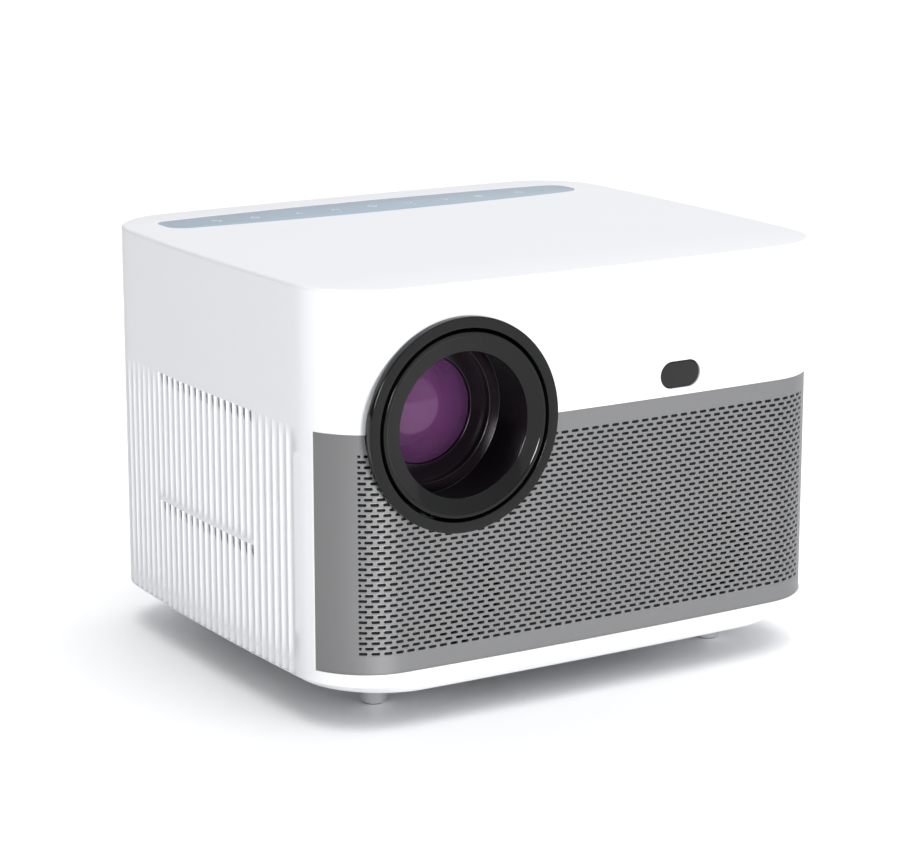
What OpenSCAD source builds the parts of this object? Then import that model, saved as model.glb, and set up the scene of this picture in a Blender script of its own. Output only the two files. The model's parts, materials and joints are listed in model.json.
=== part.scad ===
// Home projector: a box-shaped LED projector with a fluted housing, a perforated
// front grille, a powered focus lens and a folded single-panel light path.
// Millimetres. The origin is the middle of the footprint on the table, +Z is up
// and the lens looks along -Y.

/* [Body] */
// Width between the side corners, without the crown of the sides
body_w = 250; // [225:1:300]
// Depth between the front and rear corners, without their crown
body_d = 217; // [200:1:262]
// Radius of the four upright corners
corner_r = 30; // [24:1:38]
// Bulge of the front and the rear at their middle
front_crown = 3.2; // [0.5:0.1:6]
// Bulge of the two sides at their middle
side_crown = 4; // [0.5:0.1:6]
// Height of the white upper cover
cover_h = 59; // [54:1:75]
// Height of the grille and of the housing walls beside it
grille_h = 101; // [101:1:125]
// Height of the plain band under the grille
band_h = 5; // [3:0.5:10]
// Height of the bevel around the underside
bevel_h = 6.6; // [5:0.1:9]
// How far the bevel draws in at the two sides
bevel_side = 9; // [5:0.5:12]
// How far the bevel draws in at the front and the rear
bevel_front = 7; // [5:0.5:12]
// Corner radius of the underside
under_r = 34; // [26:1:40]
// Wall of the moulded shells
wall = 3; // [2.6:0.1:4]

/* [Feet] */
// Height of the feet under the body
foot_h = 13.4; // [8:0.1:20]
// Radius of a foot where it meets the body
foot_top_r = 9; // [7:0.5:12]
// Radius of a foot at the table
foot_low_r = 5.5; // [4:0.5:8]
// Distance from a foot's axis to the side and front faces
foot_inset = 37.5; // [32:0.5:45]

/* [Flutes and vents] */
// Width of one flute of the sides
flute_pitch = 5.58; // [5:0.02:6.5]
// Depth of a flute
flute_depth = 1; // [0.6:0.1:1.6]
// Number of flutes with an air slot
vent_flutes = 16; // [8:1:18]
// Height of an air slot
vent_h = 8; // [4:0.5:10]
// Width of an air slot
vent_w = 3.6; // [2:0.1:4]
// Height of the cross bar under the upper flutes, above the grille's lower edge
bar_z = 42.8; // [35:0.1:60]
// Thickness of the cross bar
bar_t = 1.4; // [1:0.1:3]

/* [Lens] */
// Distance from the left side to the lens axis
lens_side = 57; // [55:0.5:70]
// Outer radius of the lens ring
ring_r = 45; // [44.6:0.1:48]
// Radius of the neck that carries the lens ring
neck_r = 41.8; // [41.4:0.1:43]
// How far the lens ring stands out of the front
ring_out = 3.2; // [2:0.1:6]
// Radius of the moving lens barrel
barrel_r = 38.7; // [37:0.1:39]
// Gap between the barrel and the ring
barrel_gap = 1.6; // [1:0.1:2]
// Radius of the barrel's front opening
bore_r = 30.5; // [27:0.5:32]
// Radius of the front lens
front_lens_r = 23; // [20:0.5:25]
// Radius of the barrel's slim rear part
tail_r = 26; // [24:0.5:28]
// Running clearance of the barrel in its guide
guide_fit = 0.08; // [0.02:0.01:0.1]
// Travel of the lens each way from the middle
focus_travel = 4; // [2:0.5:5]

/* [Front details] */
// Width of the sensor window
window_w = 20.6; // [14:0.2:26]
// Height of the sensor window
window_h = 11.5; // [8:0.2:14]
// Distance from the body's middle to the window
window_x = 40.7; // [34:0.1:60]
// Height of the window above the grille
window_up = 9; // [8:0.1:20]
// Thickness of the metal grille
grille_t = 1.2; // [0.8:0.1:1.6]

/* [Touch strip] */
// Length of the touch strip
strip_w = 218; // [160:1:220]
// Depth of the touch strip at its ends
strip_d = 22; // [16:1:26]
// Extra depth at its middle, on each side
strip_crown = 5; // [0.5:0.5:6]
// Distance from the strip's middle to the rear corners' plane
strip_back = 30.5; // [26:0.5:40]
// Thickness of the touch strip
strip_t = 1.2; // [0.8:0.1:1.5]

/* [Light path] */
// Distance from the front corners' plane to the light engine
engine_front = 70; // [68:1:90]
// Depth of the light engine
engine_d = 96; // [92:1:98]
// Height of the light engine
engine_h = 80; // [76:1:84]
// Wall of the light engine
engine_wall = 2.5; // [2:0.1:3]
// Edge of the cooling fan
fan_size = 80; // [72:1:84]
// Thickness of the cooling fan
fan_t = 15; // [15:1:20]
// Number of fins on the heat sink
fin_count = 17; // [9:1:22]
// Edge of the circulation fan
small_fan_size = 50; // [40:1:54]

/* [Rear] */
// Width of the connector panel
panel_w = 150; // [150:1:160]
// Height of the connector panel
panel_h = 34; // [34:1:38]
// Number of slots in the rear grille
rear_slots = 20; // [8:1:24]

/* [Mounts] */
// Distance between the ceiling mount's inserts, side to side
mount_x = 120; // [100:1:130]
// Distance between the ceiling mount's inserts, front to rear
mount_y = 90; // [80:1:110]
// Bore radius of the ceiling mount's inserts
mount_r = 2; // [1.5:0.1:2.5]
// Bore radius of the tripod insert
tripod_r = 3.175; // [2.5:0.005:4]

/* [Hidden] */
$fn = 48;
corner_steps = 8;
side_steps = 8;
eps = 0.05;
fit = 0.2;                      // gap between pieces that are set into each other
seat = 0.5;                     // how far a set-in skin lies below its neighbours

under_z = foot_h;
base_z = under_z + bevel_h;
grille_z = base_z + band_h;
cover_z = grille_z + grille_h;
top_z = cover_z + cover_h;
floor_t = 3;
floor_z = under_z + floor_t;
top_t = 3;

half_w = body_w / 2;
half_d = body_d / 2;

// ---- the body's outline -----------------------------------------------------

function arc_points(cx, cy, r, start) =
    [for (i = [0:corner_steps]) let (a = start + 90 * i / corner_steps)
        [cx + r * cos(a), cy + r * sin(a)]];

function rounded_rect(w, d, r) = concat(
    arc_points(w / 2 - r, r - d / 2, r, -90),
    arc_points(w / 2 - r, d / 2 - r, r, 0),
    arc_points(r - w / 2, d / 2 - r, r, 90),
    arc_points(r - w / 2, r - d / 2, r, 180));

function split_sides(p, long_side) = [for (i = [0:len(p) - 1])
    let (a = p[i], b = p[(i + 1) % len(p)], n = norm(b - a) > long_side ? side_steps : 1)
        for (k = [0:n - 1]) a + (b - a) * k / n];

// bulges a point of the plain outline outwards, most at the middle of each side
function crowned(p) = let (u = p[0] / half_w, v = p[1] / half_d)
    [p[0] + sign(u) * side_crown * (1 - v * v) * pow(abs(u), 4),
     p[1] + sign(v) * front_crown * (1 - u * u) * pow(abs(v), 4)];

function front_y(x) = -half_d - front_crown * (1 - pow(x / half_w, 2));
function side_x(y) = half_w + side_crown * (1 - pow(y / half_d, 2));

// inner face of a side wall
function inner_x(y) = half_w - wall
    + side_crown * pow(1 - wall / half_w, 4) * (1 - pow(y / half_d, 2));

module outline(inset) {
    plain = rounded_rect(body_w - 2 * inset, body_d - 2 * inset, corner_r - inset);
    polygon([for (p = split_sides(plain, corner_r)) crowned(p)]);
}

module under_outline(inset) {
    plain = rounded_rect(body_w - 2 * (bevel_side + inset), body_d - 2 * (bevel_front + inset),
        under_r - inset);
    polygon([for (p = split_sides(plain, corner_r)) crowned(p)]);
}

module slab(z0, z1, inset = 0) {
    translate([0, 0, z0]) linear_extrude(z1 - z0) outline(inset);
}

module shell(z0, z1, inset, thick) {
    translate([0, 0, z0]) linear_extrude(z1 - z0) difference() {
        outline(inset);
        outline(inset + thick);
    }
}

// a box given by its lower and upper corners
module block(lo, hi) {
    translate(lo) cube(hi - lo);
}

// a cylinder along Y from y0 to y1
module rod_y(x, z, r, y0, y1) {
    translate([x, y0, z]) rotate([-90, 0, 0]) cylinder(r = r, h = y1 - y0);
}

// a cylinder along X from x0 to x1
module rod_x(y, z, r, x0, x1) {
    translate([x0, y, z]) rotate([0, 90, 0]) cylinder(r = r, h = x1 - x0);
}

module rod_z(x, y, r, z0, z1) {
    translate([x, y, z0]) cylinder(r = r, h = z1 - z0);
}

// ---- places -----------------------------------------------------------------

lens_x = lens_side - half_w;
lens_z = cover_z + 0.5;
lens_y = front_y(lens_x) - ring_out;      // plane of the lens ring's front face
ring_t = 3.5;                             // thickness of the lens ring's rim
grille_edge = corner_r * 0.7;             // how far the grille reaches round the corners
grille_y = -half_d + grille_edge;

engine_x0 = lens_x - 44;
engine_y0 = engine_front - half_d;
engine_y1 = engine_y0 + engine_d;
light_y = (engine_y0 + engine_y1) / 2;
engine_z0 = lens_z - engine_h / 2;
engine_z1 = lens_z + engine_h / 2;
lid_t = 2.5;

duct_l = 6;
fan_x1 = half_w - wall - duct_l;
duct_x1 = inner_x(abs(light_y) + fan_size / 2) - fit;
fan_x0 = fan_x1 - fan_t;
fin_l = 22;
sink_base = 5;
sink_x1 = fan_x0;
sink_x0 = sink_x1 - fin_l - sink_base;
led_t = 2;
led_x0 = sink_x0 - led_t;
cone_l = 28;
engine_x1 = led_x0 - cone_l;
insert_gap = 8;

// a leg that would stand on a ceiling insert steps in beside it
function beside_insert(x) = abs(abs(x) - mount_x / 2) < insert_gap ? sign(x) * (mount_x / 2 - insert_gap) : x;

leg_x = beside_insert(engine_x1 - 12);    // the engine's right legs stand between the boards

board_t = 1.6;
post_h = 18;
board_z = floor_z + post_h;               // underside of the two large boards
panel_z0 = board_z - 4;
panel_z1 = panel_z0 + panel_h;
port_y = half_d - wall - 1;               // inner face of the connector panel
bar_z0 = grille_z + bar_z;

foot_x = half_w - foot_inset;
foot_y = half_d - foot_inset;

window_z = cover_z + window_up;
strip_y = half_d - strip_back;

// ---- casing -----------------------------------------------------------------

module window_shape(grow) {
    w = window_w - window_h;
    hull() for (s = [-1, 1]) translate([s * w / 2, 0]) circle(r = window_h / 2 + grow, $fn = 32);
}

module window_prism(grow, y0, y1) {
    translate([window_x, y1, window_z]) rotate([90, 0, 0]) linear_extrude(y1 - y0)
        window_shape(grow);
}

module strip_shape(inset) {
    w = strip_w - 2 * inset;
    d = strip_d - 2 * inset;
    r = strip_d * 0.36 - inset;
    plain = rounded_rect(w, d, r);
    polygon([for (p = split_sides(plain, 2 * r))
        [p[0], p[1] + sign(p[1]) * strip_crown * (1 - pow(p[0] / (strip_w / 2), 2))]]);
}

// the hole for the lens ring's neck, with a shallow seat for its rim
module ring_seat() {
    rod_y(lens_x, lens_z, neck_r + fit, -half_d - 20, -half_d + corner_r);
    rod_y(lens_x, lens_z, ring_r + fit, -half_d - 20, lens_y + ring_t);
}

module top_cover() color("white") difference() {
    slab(cover_z, top_z);
    slab(cover_z - eps, top_z - top_t, wall);
    ring_seat();
    window_prism(fit, front_y(0) - 1, -half_d + 12);
    translate([0, strip_y, top_z - strip_t - eps]) linear_extrude(strip_t + 1) strip_shape(-fit);
}

// the same outline with a row of hollow flutes along both sides
flutes_front = -(vent_flutes * flute_pitch) / 2 - 6 * flute_pitch + 2.6;
flute_count = 6 + vent_flutes + 7;
flute_steps = 4;

function flute_cut(i) = let (t = (i % flute_steps) / flute_steps) flute_depth * (1 - pow(2 * t - 1, 2));

function fluted_side(s) = let (n = flute_count * flute_steps)
    [for (k = [0:n]) let (i = s > 0 ? k : n - k, y = flutes_front + i * flute_pitch / flute_steps)
        if (y < half_d - corner_r) [s * (side_x(y) - flute_cut(i)), y]];

function rear_part() = [for (p = split_sides(rounded_rect(body_w, body_d, corner_r), corner_r))
    if (p[1] > half_d - corner_r) crowned(p)];

module fluted_outline() {
    polygon(concat(fluted_side(1), rear_part(), fluted_side(-1),
        [[-half_w - side_crown, flutes_front - 2], [-half_w - side_crown, -half_d - 20],
         [half_w + side_crown, -half_d - 20], [half_w + side_crown, flutes_front - 2]]));
}

vent_y0 = flutes_front + 6 * flute_pitch;

module vent_row(z0) {
    reach = half_w + side_crown + 2;
    for (i = [0:vent_flutes - 1]) translate([0, vent_y0 + (i + 0.5) * flute_pitch, z0 + vent_h / 2])
        cube([2 * reach, vent_w, vent_h], center = true);
}

boss_x = half_w - 20;
boss_y = half_d - corner_r;
boss_h = 18;

module main_housing() color("gainsboro") difference() {
    union() {
        shell(base_z, grille_z + 1, 0, wall);
        translate([0, 0, grille_z + 1]) linear_extrude(grille_h - 1) difference() {
            intersection() {
                outline(0);
                fluted_outline();
            }
            outline(wall);
        }
        // plain cross bar over the lower row of air slots
        intersection() {
            shell(bar_z0, bar_z0 + bar_t, 0, wall);
            block([-half_w - 10, vent_y0, 0], [half_w + 10, vent_y0 + vent_flutes * flute_pitch, top_z]);
        }
        for (x = [-1, 1], y = [-1, 1]) {
            rod_z(x * boss_x, y * boss_y, 4, base_z, base_z + boss_h);
            translate([x * (boss_x + half_w - 1) / 2, y * boss_y, base_z + boss_h / 2])
                cube([half_w - 1 - boss_x, 2, boss_h], center = true);
        }
    }
    for (x = [-1, 1], y = [-1, 1]) rod_z(x * boss_x, y * boss_y, 1.5, base_z - 1, base_z + boss_h - 3);
    // the front is left open for the grille and its baffle, above the band
    block([-half_w - 10, -half_d - 20, grille_z], [half_w + 10, grille_y, cover_z + 1]);
    vent_row(cover_z - vent_h - 1);
    vent_row(bar_z0 - vent_h);
    block([-panel_w / 2, half_d - wall - 6, panel_z0], [panel_w / 2, half_d + 10, panel_z1]);
    for (i = [0:rear_slots - 1])
        translate([(i - (rear_slots - 1) / 2) * flute_pitch, half_d, (panel_z1 + cover_z) / 2])
            cube([vent_w - 1, 30, (cover_z - panel_z1) - 24], center = true);
}

module base_plate() color("gainsboro") difference() {
    hull() {
        translate([0, 0, base_z - eps]) linear_extrude(eps) outline(0);
        translate([0, 0, under_z]) linear_extrude(eps) under_outline(0);
    }
    translate([0, 0, floor_z]) linear_extrude(bevel_h) under_outline(floor_t);
    rod_z(0, 0, tripod_seat_r, under_z - 1, floor_z + 1);
    for (x = [-1, 1], y = [-1, 1])
        rod_z(x * mount_x / 2, y * mount_y / 2, insert_r, under_z - 1, floor_z + 1);
    for (x = [-1, 1], y = [-1, 1]) {
        rod_z(x * boss_x, y * boss_y, 1.7, under_z - 1, base_z + 1);
        rod_z(x * boss_x, y * boss_y, 3.2, under_z - 1, under_z + 2);
    }
    for (i = [-8:8])
        block([i * 6 - 1.5, -half_d + 22, under_z - 1], [i * 6 + 1.5, -half_d + 46, floor_z + 1]);
}

// ---- front ------------------------------------------------------------------

module front_band(inset, thick, gap) {
    difference() {
        intersection() {
            shell(grille_z + gap, cover_z - gap, inset, thick);
            block([-half_w, -half_d - 20, 0], [half_w, grille_y - gap, top_z]);
        }
        ring_seat();
    }
}

module front_grille() color("dimgray") front_band(seat, grille_t, 0.15);

speaker_r = 22;
speaker_z = grille_z + speaker_r + 5;
speaker_x = half_w - 62;

speaker_y = -half_d + 8;
baffle_in = seat + grille_t + fit;
baffle_t = 2;

module front_baffle() color([0.08, 0.08, 0.08]) difference() {
    union() {
        front_band(baffle_in, baffle_t, 0);
        intersection() {
            for (x = [lens_x, speaker_x])
                rod_y(x, speaker_z, speaker_r, -half_d - 20, speaker_y);
            slab(grille_z, cover_z, baffle_in + 0.1);
        }
    }
    for (x = [lens_x, speaker_x]) rod_y(x, speaker_z, speaker_r - 3, -half_d - 20, -half_d + 20);
}

module lens_ring() color([0.16, 0.16, 0.17]) difference() {
    union() {
        rod_y(lens_x, lens_z, ring_r, lens_y, lens_y + ring_t);
        rod_y(lens_x, lens_z, neck_r, lens_y + ring_t - eps, -half_d + 11);
        intersection() {
            rod_y(lens_x, lens_z, neck_r + 5, -half_d + 8, -half_d + 11);
            slab(grille_z, top_z - top_t, baffle_in + baffle_t + fit);
        }
    }
    rod_y(lens_x, lens_z, barrel_r + barrel_gap, lens_y - 1, -half_d + 12);
}

window_y = front_y(window_x + window_w / 2) + seat;

module sensor_window() color([0.2, 0.2, 0.2])
    window_prism(0, window_y, window_y + 1.5);

module focus_camera() color([0.1, 0.1, 0.12]) difference() {
    union() {
        block([window_x - 13, window_y + 4, window_z - 7], [window_x + 13, window_y + 10, window_z + 7]);
        for (s = [-1, 1]) rod_y(window_x + s * 5, window_z, 3.5, window_y + 1.5, window_y + 4 + eps);
    }
    for (s = [-1, 1]) rod_y(window_x + s * 5, window_z, 2, window_y + 1, window_y + 4);
}

module dust_filter(s) {
    y0 = vent_y0 - 2;
    y1 = vent_y0 + vent_flutes * flute_pitch + 2;
    x = inner_x(y1) - eps;
    difference() {
        block([s > 0 ? x - 3 : -x, y0, bar_z0 - vent_h - 3], [s > 0 ? x : 3 - x, y1, bar_z0 + 1]);
        for (i = [0:vent_flutes - 1])
            block([s > 0 ? x - 4 : -x - 1, vent_y0 + i * flute_pitch + 1, bar_z0 - vent_h],
                [s > 0 ? x + 1 : 4 - x, vent_y0 + (i + 1) * flute_pitch - 1, bar_z0 - 2]);
    }
}

module dust_filter_left() color("darkslategray") dust_filter(-1);

module dust_filter_right() color("darkslategray") dust_filter(1);

// ---- top --------------------------------------------------------------------

module touch_strip() color([0.7, 0.76, 0.8])
    translate([0, strip_y, top_z - strip_t - eps]) linear_extrude(strip_t) strip_shape(0);

module touch_board() color("darkgreen")
    block([-strip_w / 2 + 12, strip_y - 7, top_z - top_t - board_t], [strip_w / 2 - 12, strip_y + 7, top_z - top_t]);

// ---- feet and mounts --------------------------------------------------------

module feet() color("silver") for (x = [-1, 1], y = [-1, 1]) translate([x * foot_x, y * foot_y, 0])
    rotate_extrude() polygon([[0, 0], [foot_low_r - 0.8, 0], [foot_low_r, 0.8],
        [foot_low_r + 0.6, foot_h * 0.3], [foot_top_r - 0.8, foot_h * 0.75],
        [foot_top_r, foot_h], [0, foot_h]]);

tripod_seat_r = 8;
insert_r = 4;

module tripod_insert() color("gold") difference() {
    union() {
        rod_z(0, 0, tripod_seat_r, under_z, floor_z);
        rod_z(0, 0, tripod_seat_r + 3, floor_z, floor_z + 9);
    }
    rod_z(0, 0, tripod_r, under_z - 1, floor_z + 7);
}

module ceiling_inserts() color("gold") for (x = [-1, 1], y = [-1, 1]) difference() {
    union() {
        rod_z(x * mount_x / 2, y * mount_y / 2, insert_r, under_z, floor_z);
        rod_z(x * mount_x / 2, y * mount_y / 2, insert_r + 1.5, floor_z, floor_z + 6);
    }
    rod_z(x * mount_x / 2, y * mount_y / 2, mount_r, under_z - 1, floor_z + 7);
}

// ---- connectors -------------------------------------------------------------

inlet_x = panel_w / 2 - 20;
inlet_z = panel_z0 + 16;
hdmi_x = [-62, -42];
usb_x = [-20, -2];
jack_x = 14;
port_z = board_z + board_t;

module connector_panel() color([0.15, 0.15, 0.16]) difference() {
    block([-panel_w / 2 + fit, port_y - 1, panel_z0 + fit], [panel_w / 2 - fit, port_y + 1, panel_z1 - fit]);
    for (x = hdmi_x) block([x - 8, port_y - 2, port_z - fit], [x + 8, port_y + 2, port_z + 6.4]);
    for (x = usb_x) block([x - 7, port_y - 2, port_z - fit], [x + 7, port_y + 2, port_z + 7.4]);
    rod_y(jack_x, port_z + 4, 3.2, port_y - 2, port_y + 2);
    block([inlet_x - 11, port_y - 2, inlet_z - 7], [inlet_x + 11, port_y + 2, inlet_z + 7]);
}

module power_inlet() color([0.1, 0.1, 0.1]) {
    difference() {
        block([inlet_x - 10.8, port_y - 16, inlet_z - 6.8], [inlet_x + 10.8, port_y + 1.6, inlet_z + 6.8]);
        for (s = [-1, 1]) rod_y(inlet_x + s * 4, inlet_z, 4.6, port_y - 12, port_y + 3);
        block([inlet_x - 4, port_y - 12, inlet_z - 4], [inlet_x + 4, port_y + 3, inlet_z + 4]);
    }
    for (s = [-1, 1]) rod_y(inlet_x + s * 4.3, inlet_z, 1.1, port_y - 12 - eps, port_y - 2);
}

module socket_shell(x, w, h, tongue) {
    difference() {
        block([x - w / 2, port_y - 12, port_z], [x + w / 2, port_y + 1.2, port_z + h]);
        block([x - w / 2 + 0.5, port_y - 10, port_z + 0.5], [x + w / 2 - 0.5, port_y + 2, port_z + h - 0.5]);
    }
    block([x - w / 2 + 2, port_y - 10 - eps, port_z + tongue], [x + w / 2 - 2, port_y, port_z + tongue + 1.6]);
}

module hdmi_sockets() color("silver") for (x = hdmi_x) socket_shell(x, 15, 5.6, 2);

module usb_sockets() color("silver") for (x = usb_x) socket_shell(x, 13.2, 6.6, 3.6);

module audio_jack() color([0.1, 0.1, 0.1]) difference() {
    union() {
        block([jack_x - 4, port_y - 13, port_z], [jack_x + 4, port_y - 1.2, port_z + 8]);
        rod_y(jack_x, port_z + 4, 3, port_y - 1.3, port_y + 1.6);
    }
    rod_y(jack_x, port_z + 4, 1.8, port_y - 11, port_y + 3);
}

// ---- electronics ------------------------------------------------------------

board_y1 = port_y - 2;
main_x0 = -panel_w / 2;
main_x1 = leg_x - 3;
power_x0 = leg_x + 3;
power_x1 = boss_x - 6;
board_d = 76;

module main_board() color("darkgreen")
    block([main_x0, board_y1 - board_d, board_z], [main_x1, board_y1, board_z + board_t]);

module chip_heat_sink() color("silver") {
    y0 = board_y1 - board_d + 12;
    block([-40, y0, port_z], [-4, y0 + 36, port_z + 3]);
    for (i = [0:8]) block([-40 + i * 4.3, y0, port_z + 3 - eps], [-38.4 + i * 4.3, y0 + 36, port_z + 14]);
}

module power_board() color("saddlebrown")
    block([power_x0, board_y1 - board_d, board_z], [power_x1, board_y1 - 16, board_z + board_t]);

module transformer() color("goldenrod")
    block([power_x0 + 6, board_y1 - board_d + 8, port_z], [power_x0 + 34, board_y1 - board_d + 34, port_z + 22]);

module capacitors() color("midnightblue") for (i = [0:1])
    rod_z(power_x0 + 44, board_y1 - board_d + 14 + i * 20, 8, port_z, port_z + 24);

module board_posts() color("silver") {
    for (x = [main_x0 + 5, main_x1 - 5], y = [board_y1 - board_d + 5, board_y1 - 20])
        rod_z(x, y, 3, floor_z, board_z);
    for (x = [power_x0 + 5, power_x1 - 5], y = [board_y1 - board_d + 5, board_y1 - 20])
        rod_z(x, y, 3, floor_z, board_z);
}

module speaker(x) {
    difference() {
        union() {
            rod_y(x, speaker_z, speaker_r, speaker_y, speaker_y + 2);
            rod_y(x, speaker_z, speaker_r - 3, speaker_y + 2 - eps, speaker_y + 12);
            rod_y(x, speaker_z, 14, speaker_y + 12 - eps, speaker_y + 22);
        }
        rod_y(x, speaker_z, speaker_r - 4.5, speaker_y - 1, speaker_y + 10.5);
    }
}

module speaker_left() color([0.15, 0.15, 0.15]) speaker(lens_x);

module speaker_right() color([0.15, 0.15, 0.15]) speaker(speaker_x);

module speaker_cones() color([0.25, 0.25, 0.25]) for (x = [lens_x, speaker_x])
    translate([x, speaker_y, speaker_z]) rotate([-90, 0, 0]) rotate_extrude()
        polygon([[0, 6], [6, 7], [speaker_r - 4.5, 1], [speaker_r - 4.5, 2.4], [6.5, 8.4], [0, 8]]);

// ---- light engine -----------------------------------------------------------

glass_step = 8;
glass_x = engine_x1 - engine_wall - 5 * glass_step;
mirror_l = engine_d - 2 * engine_wall - 24;

module engine_case() color([0.12, 0.12, 0.13]) difference() {
    block([engine_x0, engine_y0, engine_z0], [engine_x1, engine_y1, engine_z1 - lid_t]);
    block([engine_x0 + engine_wall, engine_y0 + engine_wall, engine_z0 + engine_wall],
        [engine_x1 - engine_wall, engine_y1 - engine_wall, engine_z1]);
    rod_y(lens_x, lens_z, tail_r - 2, engine_y0 - 1, engine_y0 + engine_wall + 1);
    block([engine_x1 - engine_wall - 1, light_y - 32, lens_z - 23], [engine_x1 + 1, light_y + 32, lens_z + 23]);
}

module engine_lid() color([0.12, 0.12, 0.13])
    block([engine_x0, engine_y0, engine_z1 - lid_t], [engine_x1, engine_y1, engine_z1]);

module fold_mirror() color("lightsteelblue") translate([lens_x, light_y, engine_z0 + engine_wall])
    rotate([0, 0, 45]) block([-mirror_l / 2, -1, 0], [mirror_l / 2, 1, engine_h - engine_wall - lid_t]);

// a flat plate across the light path, resting on the floor of the case
module light_plate(i, thick) {
    x = glass_x + i * glass_step;
    block([x, engine_y0 + engine_wall, engine_z0 + engine_wall],
        [x + thick, engine_y1 - engine_wall, engine_z1 - lid_t]);
}

module rear_fresnel() color([0.8, 0.9, 0.95]) light_plate(0, 2);

module lcd_panel() color("slategray") light_plate(1, 2.4);

module front_fresnel() color([0.8, 0.9, 0.95]) light_plate(2, 2);

module heat_glass() color([0.75, 0.9, 0.85]) light_plate(3, 1.6);

// a hollow square funnel that spreads the lamp's light over the panel
module funnel(grow) {
    small = 12 + grow;
    hull() {
        translate([engine_x1, light_y, lens_z])
            cube([2 * eps, 2 * (32 + grow), 2 * (23 + grow)], center = true);
        translate([led_x0 - eps, light_y, lens_z]) cube([2 * eps, 2 * small, 2 * small], center = true);
    }
}

module light_cone() color("silver") intersection() {
    block([engine_x1, -half_d, 0], [led_x0, half_d, top_z]);
    difference() {
        funnel(1.2);
        funnel(0);
    }
}

module led_module() color("khaki") {
    block([led_x0, light_y - 20, lens_z - 20], [sink_x0, light_y + 20, lens_z + 20]);
    block([led_x0 - 1, light_y - 8, lens_z - 8], [led_x0 + eps, light_y + 8, lens_z + 8]);
}

sink_half = 38;

module heat_sink() color("silver") {
    block([sink_x0, light_y - sink_half, lens_z - sink_half],
        [sink_x0 + sink_base, light_y + sink_half, lens_z + sink_half]);
    for (i = [0:fin_count - 1]) {
        y = light_y - sink_half + 0.7 + i * (2 * sink_half - 1.4) / (fin_count - 1);
        block([sink_x0 + sink_base - eps, y - 0.7, lens_z - sink_half],
            [sink_x1, y + 0.7, lens_z + sink_half]);
    }
}

// ---- fans -------------------------------------------------------------------

hub_share = 0.38;                         // share of the opening that the hub takes
fan_shaft_r = 1.5;

module frame_of_fan(x0, y, z, size, thick) {
    r = size / 2 - 2;
    difference() {
        block([x0, y - size / 2, z - size / 2], [x0 + thick, y + size / 2, z + size / 2]);
        rod_x(y, z, r, x0 - 1, x0 + thick + 1);
        for (sy = [-1, 1], sz = [-1, 1])
            rod_x(y + sy * (size / 2 - 4), z + sz * (size / 2 - 4), 2, x0 - 1, x0 + thick + 1);
    }
    // motor seat with the shaft, on three arms
    rod_x(y, z, r * hub_share, x0 + thick - 2, x0 + thick);
    rod_x(y, z, fan_shaft_r, x0 + 2, x0 + thick - 2 + eps);
    for (a = [30, 150, 270]) translate([x0 + thick - 2, y, z]) rotate([a, 0, 0])
        block([0.2, r * hub_share - 1, -1.5], [1.7, r + 1, 1.5]);
}

module rotor_of_fan(x0, y, z, size, thick) {
    r = size / 2 - 2;
    difference() {
        rod_x(y, z, r * hub_share, x0 + 1, x0 + thick - 2.5);
        rod_x(y, z, fan_shaft_r + guide_fit, x0 + 2 - guide_fit, x0 + thick);
    }
    for (k = [0:6]) translate([x0 + (thick - 2.5) / 2 + 0.5, y, z]) rotate([k * 360 / 7, 0, 0])
        rotate([0, 38, 0])
            block([-(thick - 5) / 2, r * hub_share - 1, -0.7], [(thick - 5) / 2, r - 1.5, 0.7]);
}

module fan_frame() color([0.1, 0.1, 0.1]) frame_of_fan(fan_x0, light_y, lens_z, fan_size, fan_t);

module fan_rotor() color([0.2, 0.2, 0.2]) rotor_of_fan(fan_x0, light_y, lens_z, fan_size, fan_t);

// a box that turns the fan's air down to the slots under the cover's edge
module fan_duct() color([0.3, 0.3, 0.3]) difference() {
    block([fan_x1, light_y - fan_size / 2, lens_z - fan_size / 2],
        [duct_x1, light_y + fan_size / 2, lens_z + fan_size / 2]);
    block([fan_x1 - 1, light_y - fan_size / 2 + 2, lens_z - fan_size / 2 + 2],
        [duct_x1 - 1.5, light_y + fan_size / 2 - 2, lens_z + fan_size / 2 - 2]);
    block([duct_x1 - 2, light_y - fan_size / 2 + 2, lens_z - fan_size / 2 + 2],
        [duct_x1 + 1, light_y + fan_size / 2 - 2, cover_z - 1]);
}

small_fan_t = 12;
small_fan_x = -half_w + wall + 5;
small_fan_y = vent_y0 + 40;
small_fan_z = engine_z0 - small_fan_size / 2;

module small_fan_frame() color([0.1, 0.1, 0.1])
    frame_of_fan(small_fan_x, small_fan_y, small_fan_z, small_fan_size, small_fan_t);

module small_fan_rotor() color([0.2, 0.2, 0.2])
    rotor_of_fan(small_fan_x, small_fan_y, small_fan_z, small_fan_size, small_fan_t);

// ---- projection lens --------------------------------------------------------

cup_l = 42;                               // length of the barrel's wide front cup
cup_floor = 34;                           // depth of the cup's floor behind its front face
lens_end = engine_y0 - focus_travel - 1;  // rear end of the barrel at rest
barrel_l = lens_end - lens_y;

// a profile of [radius, depth behind the lens ring's face] turned about the lens axis
module turned(points) {
    translate([lens_x, lens_y, lens_z]) rotate([-90, 0, 0]) rotate_extrude() polygon(points);
}

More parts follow.
